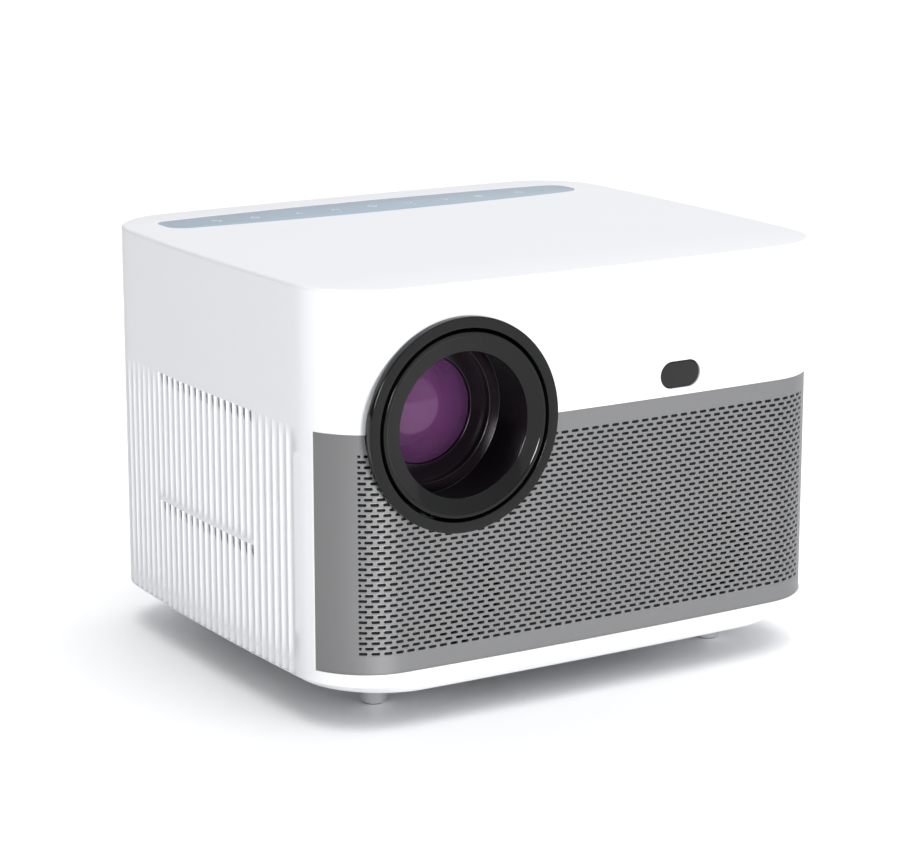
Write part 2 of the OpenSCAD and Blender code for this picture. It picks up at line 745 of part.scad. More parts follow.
module lens_barrel() color([0.17, 0.17, 0.18]) turned([
    [barrel_r, 0], [barrel_r, cup_l], [tail_r, cup_l], [tail_r, barrel_l],
    [tail_r - 7, barrel_l], [tail_r - 7, cup_l + 6], [front_lens_r - 3, cup_l],
    [front_lens_r - 3, cup_floor + 6], [front_lens_r + fit, cup_floor + 6],
    [front_lens_r + fit, cup_floor], [barrel_r - 8, cup_floor], [barrel_r - 8, cup_floor - 3],
    [barrel_r - 3, cup_floor - 3], [barrel_r - 3, 5], [bore_r, 3], [bore_r, 1.3],
    [barrel_r - 1.8, 0]]);

// a lens of radius r whose front face bulges by `front` and whose rear is flat
function cap_points(r, base, front, n) = [for (i = [0:n]) let (t = i / n)
    [r * t, base - front * (1 - t * t)]];

module front_lens() color([0.6, 0.3, 0.65])
    turned(concat(cap_points(front_lens_r, cup_floor + 1.5, 6.5, 10),
        [[front_lens_r, cup_floor + 6], [0, cup_floor + 6]]));

module inner_lens(depth, thick) {
    r = tail_r - 7 - eps;
    turned(concat(cap_points(r, depth, 2, 8), [[r, depth + thick], [0, depth + thick]]));
}

module middle_lens() color([0.8, 0.85, 0.95]) inner_lens(cup_l + 9, 4);

module rear_lens() color([0.8, 0.85, 0.95]) inner_lens(cup_l + 17, 5);

guide_y0 = lens_y + cup_l + focus_travel + 3;
guide_r = tail_r + guide_fit;
screw_x = lens_x + barrel_r + 8;
screw_r = 2;
nut_half = 4;
nut_y = (guide_y0 + lens_end) / 2;

module lens_guide() color([0.3, 0.3, 0.3]) difference() {
    union() {
        rod_y(lens_x, lens_z, guide_r + 2.2, guide_y0, engine_y0 - 3 + eps);
        rod_y(lens_x, lens_z, guide_r + 8, engine_y0 - 3, engine_y0);
        // ears that hold the motor and the far end of its screw
        for (y = [guide_y0, engine_y0 - 3])
            block([lens_x, y, lens_z - 7], [screw_x + 7, y + 3, lens_z + 7]);
    }
    rod_y(lens_x, lens_z, guide_r, guide_y0 - 1, engine_y0 + 1);
    rod_y(screw_x, lens_z, screw_r + guide_fit, guide_y0 - 1, engine_y0 + 1);
    // slot for the arm that joins the barrel to its nut
    block([lens_x, guide_y0 + 3, lens_z - nut_half - 1],
        [screw_x, engine_y0 - 3, lens_z + nut_half + 1]);
}

module lens_nut() color("gold") difference() {
    block([lens_x, nut_y - 2, lens_z - nut_half],
        [screw_x + nut_half, nut_y + 2, lens_z + nut_half]);
    rod_y(lens_x, lens_z, tail_r, nut_y - 3, nut_y + 3);
    rod_y(screw_x, lens_z, screw_r + guide_fit, nut_y - 3, nut_y + 3);
}

module focus_motor() color("silver") difference() {
    union() {
        rod_y(screw_x, lens_z, 6, guide_y0 - 12, guide_y0 - 1);
        block([screw_x - 6.5, guide_y0 - 1 - eps, lens_z - 6.5], [screw_x + 6.5, guide_y0, lens_z + 6.5]);
    }
    rod_y(screw_x, lens_z, screw_r + guide_fit, guide_y0 - 10, guide_y0 + 1);
}

module focus_screw() color("gray")
    rod_y(screw_x, lens_z, screw_r, guide_y0 - 10 + guide_fit, engine_y0 - guide_fit);

// ---- wiring -----------------------------------------------------------------

// a wire along straight runs, with a slightly larger ball at each bend
module wire(points, r) {
    for (i = [0:len(points) - 2]) {
        d = points[i + 1] - points[i];
        translate(points[i]) rotate([0, acos(d[2] / norm(d)), atan2(d[1], d[0])])
            cylinder(r = r, h = norm(d), $fn = 16);
        if (i > 0) translate(points[i]) sphere(r = r * 1.15, $fn = 16);
    }
}

wire_r = 1;
wire_z = floor_z + 11;                    // height of the wires under the boards
lead_y = board_y1 - board_d + 2;
lead_x = main_x1 - 12;

module speaker_wires() color("firebrick") {
    y = speaker_y + 22 + wire_r;
    x = lens_x + 8;
    wire([[x, y, speaker_z - 10], [x, y, wire_z], [x, lead_y, wire_z], [x, lead_y, board_z]], wire_r);
    wire([[speaker_x, y, speaker_z - 10], [speaker_x, y, wire_z], [lead_x, y, wire_z],
        [lead_x, lead_y, wire_z], [lead_x, lead_y, board_z]], wire_r);
}

module inlet_leads() color("black") for (s = [-1, 1]) {
    x = inlet_x + s * 4.3;
    wire([[x, port_y - 16, inlet_z], [x, port_y - 24, inlet_z], [x, port_y - 24, port_z]], wire_r);
}

module lamp_leads() color("firebrick") for (s = [0, 1]) {
    x = led_x0 - 3 - s * 3;
    y = light_y - 10 - s * 4;
    wire([[x, lead_y, port_z], [x, lead_y, engine_z0 - 8], [x, y, engine_z0 - 8],
        [x, y, lens_z - 19], [led_x0, y, lens_z - 19]], wire_r);
}

// ---- fastening --------------------------------------------------------------

module housing_screws() color("dimgray") for (x = [-1, 1], y = [-1, 1]) {
    rod_z(x * boss_x, y * boss_y, 3, under_z + 0.4, under_z + 2);
    rod_z(x * boss_x, y * boss_y, 1.5, under_z + 2 - eps, base_z + boss_h - 4);
}

// thin legs that carry the light engine and the heat sink over the boards
module engine_brackets() color("silver") {
    for (x = [beside_insert(engine_x0 + 12), leg_x], y = [engine_y0 + 6, engine_y1 - 6])
        block([x - 2, y - 4, floor_z], [x + 2, y + 4, engine_z0]);
    for (y = [light_y - 30, light_y + 10])
        block([sink_x0, y - 4, floor_z], [sink_x0 + 3, y + 4, lens_z - sink_half]);
}

top_cover();
main_housing();
base_plate();
front_grille();
front_baffle();
dust_filter_left();
dust_filter_right();
lens_ring();
sensor_window();
focus_camera();
touch_strip();
touch_board();
feet();
tripod_insert();
ceiling_inserts();
connector_panel();
power_inlet();
hdmi_sockets();
usb_sockets();
audio_jack();
main_board();
chip_heat_sink();
power_board();
transformer();
capacitors();
board_posts();
speaker_left();
speaker_right();
speaker_cones();
engine_case();
engine_lid();
fold_mirror();
rear_fresnel();
lcd_panel();
front_fresnel();
heat_glass();
light_cone();
led_module();
heat_sink();
fan_frame();
fan_rotor();
fan_duct();
small_fan_frame();
small_fan_rotor();
lens_guide();
lens_barrel();
front_lens();
middle_lens();
rear_lens();
lens_nut();
focus_motor();
focus_screw();
speaker_wires();
inlet_leads();
lamp_leads();
housing_screws();
engine_brackets();
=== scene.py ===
import json
import math

import bmesh
import bpy
import numpy as np
from mathutils.geometry import tessellate_polygon
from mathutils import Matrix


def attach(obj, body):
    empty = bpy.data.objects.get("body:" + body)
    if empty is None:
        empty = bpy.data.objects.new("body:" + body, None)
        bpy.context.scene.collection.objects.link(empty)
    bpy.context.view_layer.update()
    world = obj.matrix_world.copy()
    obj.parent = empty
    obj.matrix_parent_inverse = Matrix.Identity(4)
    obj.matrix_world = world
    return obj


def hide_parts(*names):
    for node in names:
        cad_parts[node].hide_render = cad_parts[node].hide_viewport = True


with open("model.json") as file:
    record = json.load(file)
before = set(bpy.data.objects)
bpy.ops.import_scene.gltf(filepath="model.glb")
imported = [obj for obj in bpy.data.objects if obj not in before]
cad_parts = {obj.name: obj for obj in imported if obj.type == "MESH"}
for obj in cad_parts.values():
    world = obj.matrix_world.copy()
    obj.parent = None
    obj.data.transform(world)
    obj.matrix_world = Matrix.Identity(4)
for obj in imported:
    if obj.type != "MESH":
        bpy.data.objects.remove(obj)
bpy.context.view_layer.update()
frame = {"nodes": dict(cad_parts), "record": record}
nodes = frame["nodes"]
scene = bpy.context.scene

# ---- studio -----------------------------------------------------------------
# A pale sweep under a soft sky, dimmer on the left, with one large lamp low in
# front that rakes the fluted side and one above. The camera stands a little
# above the projector, in front of its left corner, with a long lens.

lens_view = bpy.data.cameras.new("view")
lens_view.lens = 112.949
lens_view.sensor_width = 36.0
lens_view.clip_start = 0.05
camera = bpy.data.objects.new("camera", lens_view)
camera.location = (-0.6707475, -1.086245, 0.3987125)
camera.rotation_euler = (math.radians(90 - 13.3485), 0.0, math.radians(-31.71))
scene.collection.objects.link(camera)
scene.camera = camera
scene.view_settings.view_transform = "Standard"
scene.view_settings.look = "None"
scene.view_settings.exposure = 0.0

sky = bpy.data.worlds.new("studio")
sky.use_nodes = True
sky.node_tree.nodes["Background"].inputs["Color"].default_value = (0.97, 0.985, 1.0, 1)
towards = sky.node_tree.nodes.new("ShaderNodeTexCoord")
split = sky.node_tree.nodes.new("ShaderNodeSeparateXYZ")
dimmer = sky.node_tree.nodes.new("ShaderNodeMapRange")
for socket, value in (("From Min", -0.9), ("From Max", 0.6), ("To Min", 0.03), ("To Max", 0.76)):
    dimmer.inputs[socket].default_value = value
sky.node_tree.links.new(towards.outputs["Generated"], split.inputs[0])
sky.node_tree.links.new(split.outputs["X"], dimmer.inputs["Value"])
sky.node_tree.links.new(dimmer.outputs[0], sky.node_tree.nodes["Background"].inputs["Strength"])
scene.world = sky

for name, angle, strength, turn in (
        ("front_softbox", 16, 3.0, (math.radians(87), 0, math.radians(-11.5))),
        ("paper_fill", 120, 0.9, (0, 0, 0)),
        ("top_softbox", 60, 1.82, (math.radians(5), 0, math.radians(30)))):
    lamp = bpy.data.lights.new(name, "SUN")
    lamp.angle = math.radians(angle)
    lamp.energy = strength
    lamp_object = bpy.data.objects.new(name, lamp)
    lamp_object.rotation_euler = turn
    scene.collection.objects.link(lamp_object)
front_softbox = bpy.data.objects["front_softbox"]
paper_fill = bpy.data.objects["paper_fill"]
paper_fill.data.use_shadow = False

sweep = bpy.data.meshes.new("sweep")
reach = 14.0
sweep.from_pydata([(-reach, -reach, 0), (reach, -reach, 0), (reach, reach, 0), (-reach, reach, 0)], [],
                  [(0, 1, 2, 3)])
paper = bpy.data.materials.new("studio_paper")
paper.use_nodes = True
paper.node_tree.nodes["Principled BSDF"].inputs["Base Color"].default_value = (0.95, 0.95, 0.953, 1)
paper.node_tree.nodes["Principled BSDF"].inputs["Roughness"].default_value = 0.55
sweep.materials.append(paper)
floor = bpy.data.objects.new("floor", sweep)
scene.collection.objects.link(floor)
# the front lamp is flagged off the paper, and a weak fill opens the shade on it
flag = bpy.data.collections.new("front_lamp_flag")
flag.objects.link(floor)
front_softbox.light_linking.receiver_collection = flag
flag.collection_objects[0].light_linking.link_state = "EXCLUDE"
paper_only = bpy.data.collections.new("paper_only")
paper_only.objects.link(floor)
paper_fill.light_linking.receiver_collection = paper_only

# ---- upper cover ------------------------------------------------------------
# The white lid: one injection-moulded ABS shell, 3 mm thick, with a fine matt
# texture. It drops over the housing and carries the touch strip in a shallow
# recess; the lens neck and the sensor window pass through its front.

half_w, half_d = 0.125, 0.1085
corner_r = 0.030
front_crown, side_crown = 0.0032, 0.004
cover_z, top_z = 0.126, 0.185
wall = 0.003
lens_x, lens_z = -0.068, 0.1265
neck_hole = 0.0421
window_x, window_z, window_w, window_h = 0.0407, 0.135, 0.0206, 0.0115
strip_y, strip_w, strip_d, strip_crown, strip_t = 0.078, 0.218, 0.022, 0.005, 0.0012


def crowned(x, y):
    """Bulges a point of the plain outline outwards, most at the middle of each side."""
    u, v = x / half_w, y / half_d
    return (x + math.copysign(side_crown * (1 - v * v) * abs(u) ** 4, u),
            y + math.copysign(front_crown * (1 - u * u) * abs(v) ** 4, v))


def rounded(w, d, r, arc=18, side=30):
    """A rounded rectangle, anticlockwise from the front right corner."""
    points = []
    for cx, cy, start in ((w / 2 - r, r - d / 2, -90), (w / 2 - r, d / 2 - r, 0),
                          (r - w / 2, d / 2 - r, 90), (r - w / 2, r - d / 2, 180)):
        for i in range(arc + 1):
            a = math.radians(start + 90 * i / arc)
            points.append((cx + r * math.cos(a), cy + r * math.sin(a)))
    ring = []
    for i, (x, y) in enumerate(points):
        ring.append((x, y))
        if i % (arc + 1) == arc:
            nx, ny = points[(i + 1) % len(points)]
            ring += [(x + (nx - x) * k / side, y + (ny - y) * k / side) for k in range(1, side)]
    return ring


def body_ring(inset, z):
    ring = rounded(2 * (half_w - inset), 2 * (half_d - inset), corner_r - inset)
    return [(*crowned(x, y), z) for x, y in ring]


def strip_ring(inset, z):
    r = strip_d * 0.36 - inset
    ring = rounded(strip_w - 2 * inset, strip_d - 2 * inset, r, arc=10, side=40)
    return [(x, strip_y + y + math.copysign(strip_crown * (1 - (2 * x / strip_w) ** 2), y), z)
            for x, y in ring]


def circle(cx, cy, r, z, n=32):
    return [(cx + r * math.cos(2 * math.pi * i / n), cy + r * math.sin(2 * math.pi * i / n), z)
            for i in range(n)]


class Build:
    """Collects corners and faces, then makes one clean, closed mesh of them."""

    def __init__(self):
        self.corners, self.faces = [], []

    def loop(self, ring):
        first = len(self.corners)
        self.corners += ring
        return list(range(first, first + len(ring)))

    def skin(self, rings, closed=True):
        """Quads between rings of equal length, one after another."""
        loops = [self.loop(ring) for ring in rings]
        for low, high in zip(loops, loops[1:]):
            n = len(low)
            for i in range(n if closed else n - 1):
                j = (i + 1) % n
                self.faces.append((low[i], low[j], high[j], high[i]))

    def plate(self, rings):
        """A flat face inside the first ring, with the other rings as its holes."""
        index = [k for ring in rings for k in self.loop(ring)]
        for face in tessellate_polygon(rings):
            self.faces.append(tuple(index[k] for k in face))

    def turned(self, profile, axis_x, axis_z, base_y, n=128):
        """Turns a profile of (radius, depth) about an axis that runs along Y."""
        self.skin([[(axis_x + r * math.cos(2 * math.pi * i / n), base_y + d,
                     axis_z + r * math.sin(2 * math.pi * i / n)) for i in range(n)] for r, d in profile])

    def finish(self, name, body, replaced=(), sharp=30.0, joined=0.000002):
        mesh = bpy.data.meshes.new(name)
        mesh.from_pydata(self.corners, [], self.faces)
        work = bmesh.new()
        work.from_mesh(mesh)
        bmesh.ops.remove_doubles(work, verts=work.verts, dist=joined)
        bmesh.ops.dissolve_degenerate(work, edges=work.edges, dist=joined)
        bmesh.ops.recalc_face_normals(work, faces=work.faces)
        work.to_mesh(mesh)
        work.free()
        for face in mesh.polygons:
            face.use_smooth = True
        mesh.set_sharp_from_angle(angle=math.radians(sharp))
        piece = bpy.data.objects.new(name, mesh)
        scene.collection.objects.link(piece)
        if body:
            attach(piece, body)
        if replaced:
            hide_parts(*replaced)
        return piece


def applied(piece):
    """Turns a piece with its modifiers into a plain mesh."""
    bpy.context.view_layer.update()
    mesh = bpy.data.meshes.new_from_object(piece.evaluated_get(bpy.context.evaluated_depsgraph_get()))
    piece.modifiers.clear()
    piece.data = mesh
    return piece


def cut_away(piece, cutter):
    cut = piece.modifiers.new("cut", "BOOLEAN")
    cut.object, cut.operation, cut.solver = cutter, "DIFFERENCE", "EXACT"
    applied(piece)
    bpy.data.objects.remove(cutter)
    piece.data.set_sharp_from_angle(angle=math.radians(30))


# The surface of moulded plastic: faint colour drift, a fine spark-eroded grain
# and small changes of gloss. Every moulded material places this group.
grain = bpy.data.node_groups.new("moulded_grain", "ShaderNodeTree")
for label, kind, way in (("Color", "NodeSocketColor", "INPUT"), ("Drift", "NodeSocketFloat", "INPUT"),
                         ("Grain Size", "NodeSocketFloat", "INPUT"), ("Roughness", "NodeSocketFloat", "INPUT"),
                         ("Color", "NodeSocketColor", "OUTPUT"), ("Roughness", "NodeSocketFloat", "OUTPUT"),
                         ("Height", "NodeSocketFloat", "OUTPUT")):
    grain.interface.new_socket(label, in_out=way, socket_type=kind)


def wired(tree, kind, inputs=(), **settings):
    """Adds a node, sets what it is and joins or sets its inputs."""
    node = tree.nodes.new(kind)
    for key, value in settings.items():
        setattr(node, key, value)
    for key, value in dict(inputs).items():
        if isinstance(value, bpy.types.NodeSocket):
            tree.links.new(value, node.inputs[key])
        else:
            node.inputs[key].default_value = value
    return node


given = wired(grain, "NodeGroupInput")
place = wired(grain, "ShaderNodeTexCoord")
clouds = wired(grain, "ShaderNodeTexNoise", {"Vector": place.outputs["Object"], "Scale": 22.0, "Detail": 3.0})
fine = wired(grain, "ShaderNodeTexNoise", {"Vector": place.outputs["Object"],
             "Scale": given.outputs["Grain Size"], "Detail": 2.0})
drift = wired(grain, "ShaderNodeMath", {0: clouds.outputs["Fac"], 1: 0.5}, operation="SUBTRACT")
drift = wired(grain, "ShaderNodeMath", {0: drift.outputs[0], 1: given.outputs["Drift"], 2: 1.0},
              operation="MULTIPLY_ADD")
tinted = wired(grain, "ShaderNodeVectorMath", {0: given.outputs["Color"], "Scale": drift.outputs[0]},
               operation="SCALE")
uneven = wired(grain, "ShaderNodeMapRange", {"Value": fine.outputs["Fac"], "To Min": 0.92, "To Max": 1.08})
uneven = wired(grain, "ShaderNodeMath", {0: uneven.outputs[0], 1: given.outputs["Roughness"]},
               operation="MULTIPLY")
wired(grain, "NodeGroupOutput", {"Color": tinted.outputs[0], "Roughness": uneven.outputs[0],
                                 "Height": fine.outputs["Fac"]})


def moulded(name, color, roughness, drift=0.03, size=1400.0, depth=0.02, metallic=0.0, **shader):
    """A moulded or coated material: the grain group feeding a plain shader."""
    material = bpy.data.materials.new(name)
    material.use_nodes = True
    tree = material.node_tree
    surface = wired(tree, "ShaderNodeGroup", node_tree=grain)
    for key, value in (("Color", (*color, 1)), ("Drift", drift), ("Grain Size", size), ("Roughness", roughness)):
        surface.inputs[key].default_value = value
    bump = wired(tree, "ShaderNodeBump", {"Height": surface.outputs["Height"], "Strength": 0.35,
                                          "Distance": depth * 0.001})
    bsdf = tree.nodes["Principled BSDF"]
    tree.links.new(surface.outputs["Color"], bsdf.inputs["Base Color"])
    tree.links.new(surface.outputs["Roughness"], bsdf.inputs["Roughness"])
    tree.links.new(bump.outputs["Normal"], bsdf.inputs["Normal"])
    bsdf.inputs["Metallic"].default_value = metallic
    for key, value in shader.items():
        bsdf.inputs[key.replace("_", " ")].default_value = value
    return material


white_plastic = moulded("white_moulded_abs", (0.845, 0.853, 0.875), 0.42, drift=0.012, depth=0.03)

cover = Build()
edge_r = 0.0014
edge = [(edge_r * (1 - math.cos(a)), top_z - edge_r * (1 - math.sin(a)))
        for a in (math.radians(15 * k) for k in range(7))]
cover.skin([body_ring(0, z) for z in np.linspace(cover_z, top_z - 2 * edge_r, 6)]
           + [body_ring(inset, z) for inset, z in edge])
recess_z = top_z - strip_t - 0.00005
cover.plate([body_ring(edge_r, top_z), strip_ring(-0.0002, top_z)])
cover.skin([strip_ring(-0.0002, top_z), strip_ring(-0.0002, recess_z)])
cover.plate([strip_ring(-0.0002, recess_z)])
cover.plate([body_ring(wall, top_z - wall)])
cover.skin([body_ring(wall, top_z - wall), body_ring(wall, cover_z)])
cover.skin([body_ring(0, cover_z), body_ring(wall, cover_z)])
upper_cover = cover.finish("upper_cover", "projector", ["top_cover"])
upper_cover.data.materials.append(white_plastic)


def obround(grow, y, n=16):
    """The sensor window's outline, a slot with round ends, seen from in front."""
    flat = (window_w - window_h) / 2
    r = window_h / 2 + grow
    ends = [(side * flat, start) for side, start in ((1, -90), (-1, 90))]
    return [(window_x + cx + r * math.cos(math.radians(start + 180 * k / n)), y,
             window_z + r * math.sin(math.radians(start + 180 * k / n)))
            for cx, start in ends for k in range(n + 1)]


def end_face(build, outline):
    """Closes an upright outline with one flat face."""
    index = build.loop(outline)
    flat_outline = [(x, z, 0) for x, y, z in outline]
    build.faces += [tuple(index[k] for k in f) for f in tessellate_polygon([flat_outline])]


neck_cutter = Build()
neck_cutter.turned([(0.0, -0.130), (neck_hole, -0.130), (neck_hole, -0.080), (0.0, -0.080)], lens_x, lens_z, 0)
cut_away(upper_cover, neck_cutter.finish("neck_cutter", None))
window_cutter = Build()
window_ends = [obround(0.0002, -0.130), obround(0.0002, -0.090)]
window_cutter.skin(window_ends)
for outline in window_ends:
    end_face(window_cutter, outline)
cut_away(upper_cover, window_cutter.finish("window_cutter", None))

# ---- main housing -----------------------------------------------------------
# The white lower shell, moulded ABS. Its sides are cut into upright scalloped
# flutes that run out towards their ends; sixteen a side deepen into air slots
# under the cover's edge and under a thin cross bar. The rear is open for the
# connector panel and has a row of upright slots above it.

base_z, band_z = 0.020, 0.025
pitch = 0.00558
flute_depth = 0.0010
first_flute = corner_r * math.pi / 2 + half_w - corner_r + 0.00298
plain_ahead, vented, flutes = 6, 16, 36
bar_low, bar_high = 0.0678, 0.0692
slot_lip = 0.0013
grille_edge = 0.13298
panel_half, panel_low, panel_high = 0.075, 0.0304, 0.0644
rear_low, rear_high = 0.0764, 0.114


def walk(s):
    """Plain point and outward direction at a distance s along the outline from the front's middle."""
    flat, arc, side = half_w - corner_r, corner_r * math.pi / 2, 2 * (half_d - corner_r)
    t = abs(s)
    if t <= flat:
        x, y, nx, ny = t, -half_d, 0.0, -1.0
    elif t <= flat + arc:
        a = (t - flat) / corner_r
        nx, ny = math.sin(a), -math.cos(a)
        x, y = flat + corner_r * nx, corner_r - half_d + corner_r * ny
    elif t <= flat + arc + side:
        x, y, nx, ny = half_w, corner_r - half_d + t - flat - arc, 1.0, 0.0
    elif t <= flat + 2 * arc + side:
        a = (t - flat - arc - side) / corner_r
        nx, ny = math.cos(a), math.sin(a)
        x, y = flat + corner_r * nx, half_d - corner_r + corner_r * ny
    else:
        x, y, nx, ny = flat - (t - flat - 2 * arc - side), half_d, 0.0, 1.0
    return (x, y, nx, ny) if s >= 0 else (-x, y, -nx, ny)


def on_wall(s, depth):
    x, y, nx, ny = walk(s)
    return crowned(x - nx * depth, y - ny * depth)


def smooth_end(z, end, length):
    """0 at the end of a flute and 1 from a length away, as a round cutter leaves it."""
    t = min(max(abs(z - end) / length, 0.0), 1.0)
    return 1 - (1 - t) ** 2


def slot_depth(z, roof):
    """Extra depth of a vented flute under a roof at height roof."""
    h = (roof - z) / 0.012
    return 0.00208 * (1 - h) ** 2.8 if 0 <= h < 1 else 0.0


levels = [0.020, 0.0246, 0.0250, 0.0262, 0.0274, 0.0288, 0.0304, 0.0324, 0.035, 0.040, 0.048, 0.0558, 0.0580,
          0.0598, 0.0610, 0.0618, 0.0626, 0.0636, 0.0648, 0.0662, bar_low, bar_low, bar_high, 0.0697, 0.0704,
          0.0714, 0.0728, 0.0746, 0.0764, 0.088, 0.102, 0.112, 0.1140, 0.1160, 0.1175, 0.1188, 0.1200, 0.1210,
          0.1222, 0.1234, 0.1247, 0.1260]
bar_row = levels.index(bar_low) + 1
apex = {}
for roof in (bar_low, 0.126):
    for k in range(600):
        if flute_depth + slot_depth(roof - k * 0.00002, roof) <= slot_lip:
            apex[roof] = roof - k * 0.00002
            break
levels = [next((v for v in apex.values() if abs(v - z) < 0.0005), z) for z in levels]
panel_rows = [min(range(len(levels)), key=lambda k: abs(levels[k] - z))
              for z in (panel_low, panel_high, rear_low, rear_high)]
for row, z in zip(panel_rows, (panel_low, panel_high, rear_low, rear_high)):
    levels[row] = z


def flute_columns(i):
    """One flute's columns: each gives (distance along the outline, outer depth, inner depth) at a row."""
    start = first_flute + i * pitch
    is_vent = plain_ahead <= i < plain_ahead + vented

    def column(share, mirrored):
        def at(row):
            z = levels[row]
            full = flute_depth * smooth_end(z, band_z, 0.012)
            inner = wall
            if is_vent:
                roof = bar_low if row < bar_row else 0.126
                if row >= bar_row:
                    full = flute_depth * smooth_end(z, bar_high, 0.005) if row > bar_row else 0.0
                full += slot_depth(z, roof) if row != bar_row + 1 else 0.0
                cut = full if row not in (bar_row, bar_row + 1) else flute_depth + 0.00208
                lip = 0.5 if cut <= slot_lip + 1e-7 else 0.5 * (1 - math.sqrt(1 - slot_lip / cut))
                if share == 1.0 and cut > slot_lip - 2e-5 and row not in (bar_row, bar_row + 1):
                    inner = slot_lip
            else:
                full = min(full, flute_depth * smooth_end(z, 0.126, 0.013))
                lip = 0.5
            q = share * lip
            depth = full * (1 - (2 * q - 1) ** 2)
            if is_vent and share == 1.0 and inner == slot_lip:
                depth = slot_lip
            q = 1 - q if mirrored else q
            return start + pitch * (0.03 + 0.94 * q), depth, inner
        return at

    shares = (0.0, 0.12, 0.32, 0.62, 1.0)
    return [column(q, False) for q in shares] + [column(q, True) for q in reversed(shares)]


def plain_column(s):
    return lambda row: (s, 0.0, wall)


half_loop, kinds = [], []
flat, arc = half_w - corner_r, corner_r * math.pi / 2
front_stops = [flat * k / 10 for k in range(10)] + [flat + (grille_edge - flat) * k / 12 for k in range(13)]
for s in front_stops + [grille_edge + 0.0035, grille_edge + 0.007]:
    half_loop.append(plain_column(s))
    kinds.append("front" if s < grille_edge - 1e-6 else "wall")
for i in range(flutes):
    columns = flute_columns(i)
    half_loop += columns
    kinds += ["wall"] * 4 + ["slot"] + ["wall"] * 5
rear_end = first_flute + flutes * pitch
loop_end = 2 * flat + 2 * arc + 2 * (half_d - corner_r)
rear_stops = [(0.0025 + rear_end, "wall"), (0.006 + rear_end, "wall"), (0.012 + rear_end, "wall"),
              (loop_end - panel_half, "panel")]
for k in reversed(range(10)):
    centre = loop_end - (k + 0.5) * pitch
    rear_stops += [(centre - 0.0013, "rear_slot"), (centre + 0.0013, "panel")]
for s, kind in rear_stops:
    half_loop.append(plain_column(s))
    kinds.append(kind)

right = [(column, 1) for column in half_loop]
left = [(column, -1) for column in reversed(half_loop[1:])]
ring = right + left
ring_kinds = kinds[:-1] + [kinds[-1]] + list(reversed(kinds[1:-1])) + [kinds[0]]
# between the two middle columns of the rear lies plain panel, and the ring closes over the front
rows = len(levels)
outer, inner, same = [], [], []
for row in range(rows):
    outside, inside, spots = [], [], []
    for column, side in ring:
        s, depth, depth_in = column(row)
        outside.append((*on_wall(side * s, depth), levels[row]))
        inside.append((*on_wall(side * s, depth_in), levels[row]))
        spots.append(s)
    outer.append(outside)
    inner.append(inside)
    same.append(spots)


def cell_state(row, c):
    """solid, open, or nothing where a flute's two halves meet."""
    kind = ring_kinds[c]
    low, high = levels[row], levels[row + 1]
    if kind == "front":
        return "open" if low >= band_z - 1e-6 else "solid"
    if kind == "slot":
        if row in (bar_row, bar_row + 1):
            return "solid"
        width = max(abs(same[r][(c + 1) % len(ring)] - same[r][c]) for r in (row, row + 1))
        return "nothing" if width < 1e-6 else "open"
    if kind in ("panel", "rear_slot"):
        if panel_low - 1e-6 <= low and high <= panel_high + 1e-6:
            return "open"
        if kind == "rear_slot" and rear_low - 1e-6 <= low and high <= rear_high + 1e-6:
            return "open"
    return "solid"


state = [[cell_state(row, c) for c in range(len(ring))] for row in range(rows - 1)]
shell = Build()
out_ids = [shell.loop(r) for r in outer]
in_ids = [shell.loop(r) for r in inner]
for row in range(rows - 1):
    for c in range(len(ring)):
        d = (c + 1) % len(ring)
        if state[row][c] == "solid":
            shell.faces.append((out_ids[row][c], out_ids[row][d], out_ids[row + 1][d], out_ids[row + 1][c]))
            shell.faces.append((in_ids[row][d], in_ids[row][c], in_ids[row + 1][c], in_ids[row + 1][d]))
        if {state[row][c], state[row][d]} == {"solid", "open"}:
            shell.faces.append((out_ids[row][d], out_ids[row + 1][d], in_ids[row + 1][d], in_ids[row][d]))
        below = state[row - 1][c] if row else "open"
        if {state[row][c], below} == {"solid", "open"}:
            shell.faces.append((out_ids[row][c], out_ids[row][d], in_ids[row][d], in_ids[row][c]))
        if row == rows - 2 and state[row][c] == "solid":
            shell.faces.append((out_ids[row + 1][c], out_ids[row + 1][d], in_ids[row + 1][d], in_ids[row + 1][c]))
housing = shell.finish("fluted_housing", "projector", ["main_housing"], sharp=38.0, joined=0.000004)
housing.data.materials.append(white_plastic)


# ---- base plate -------------------------------------------------------------
# The white tray under the body, moulded ABS: a drawn-in bevel all round, a flat
# floor with a block of air slots behind the front, holes for the screws of the
# casing and brass inserts for a tripod and a ceiling bracket.

under_z, floor_z = 0.0134, 0.0164
bevel_side, bevel_front, under_r = 0.009, 0.007, 0.034
boss_x, boss_y = half_w - 0.020, half_d - corner_r


def under_ring(inset, z):
    ring = rounded(2 * (half_w - bevel_side - inset), 2 * (half_d - bevel_front - inset), under_r - inset)
    return [(*crowned(x, y), z) for x, y in ring]


def between(low, high, share, z):
    return [(a[0] + (b[0] - a[0]) * share, a[1] + (b[1] - a[1]) * share, z) for a, b in zip(low, high)]


def slot_hole(x, y0, y1, r, z, n=8):
    ends = ((y0 + r, 180), (y1 - r, 0))
    return [(x + r * math.cos(math.radians(start + 180 * k / n)),
             cy + r * math.sin(math.radians(start + 180 * k / n)), z)
            for cy, start in ends for k in range(n + 1)]


def base_holes(z):
    holes = [circle(0, 0, 0.0081, z)]
    holes += [circle(x * 0.060, y * 0.045, 0.00405, z, 24) for x in (-1, 1) for y in (-1, 1)]
    holes += [circle(x * boss_x, y * boss_y, 0.0032, z, 24) for x in (-1, 1) for y in (-1, 1)]
    holes += [slot_hole(i * 0.006, -half_d + 0.022, -half_d + 0.046, 0.0015, z) for i in range(-8, 9)]
    return holes


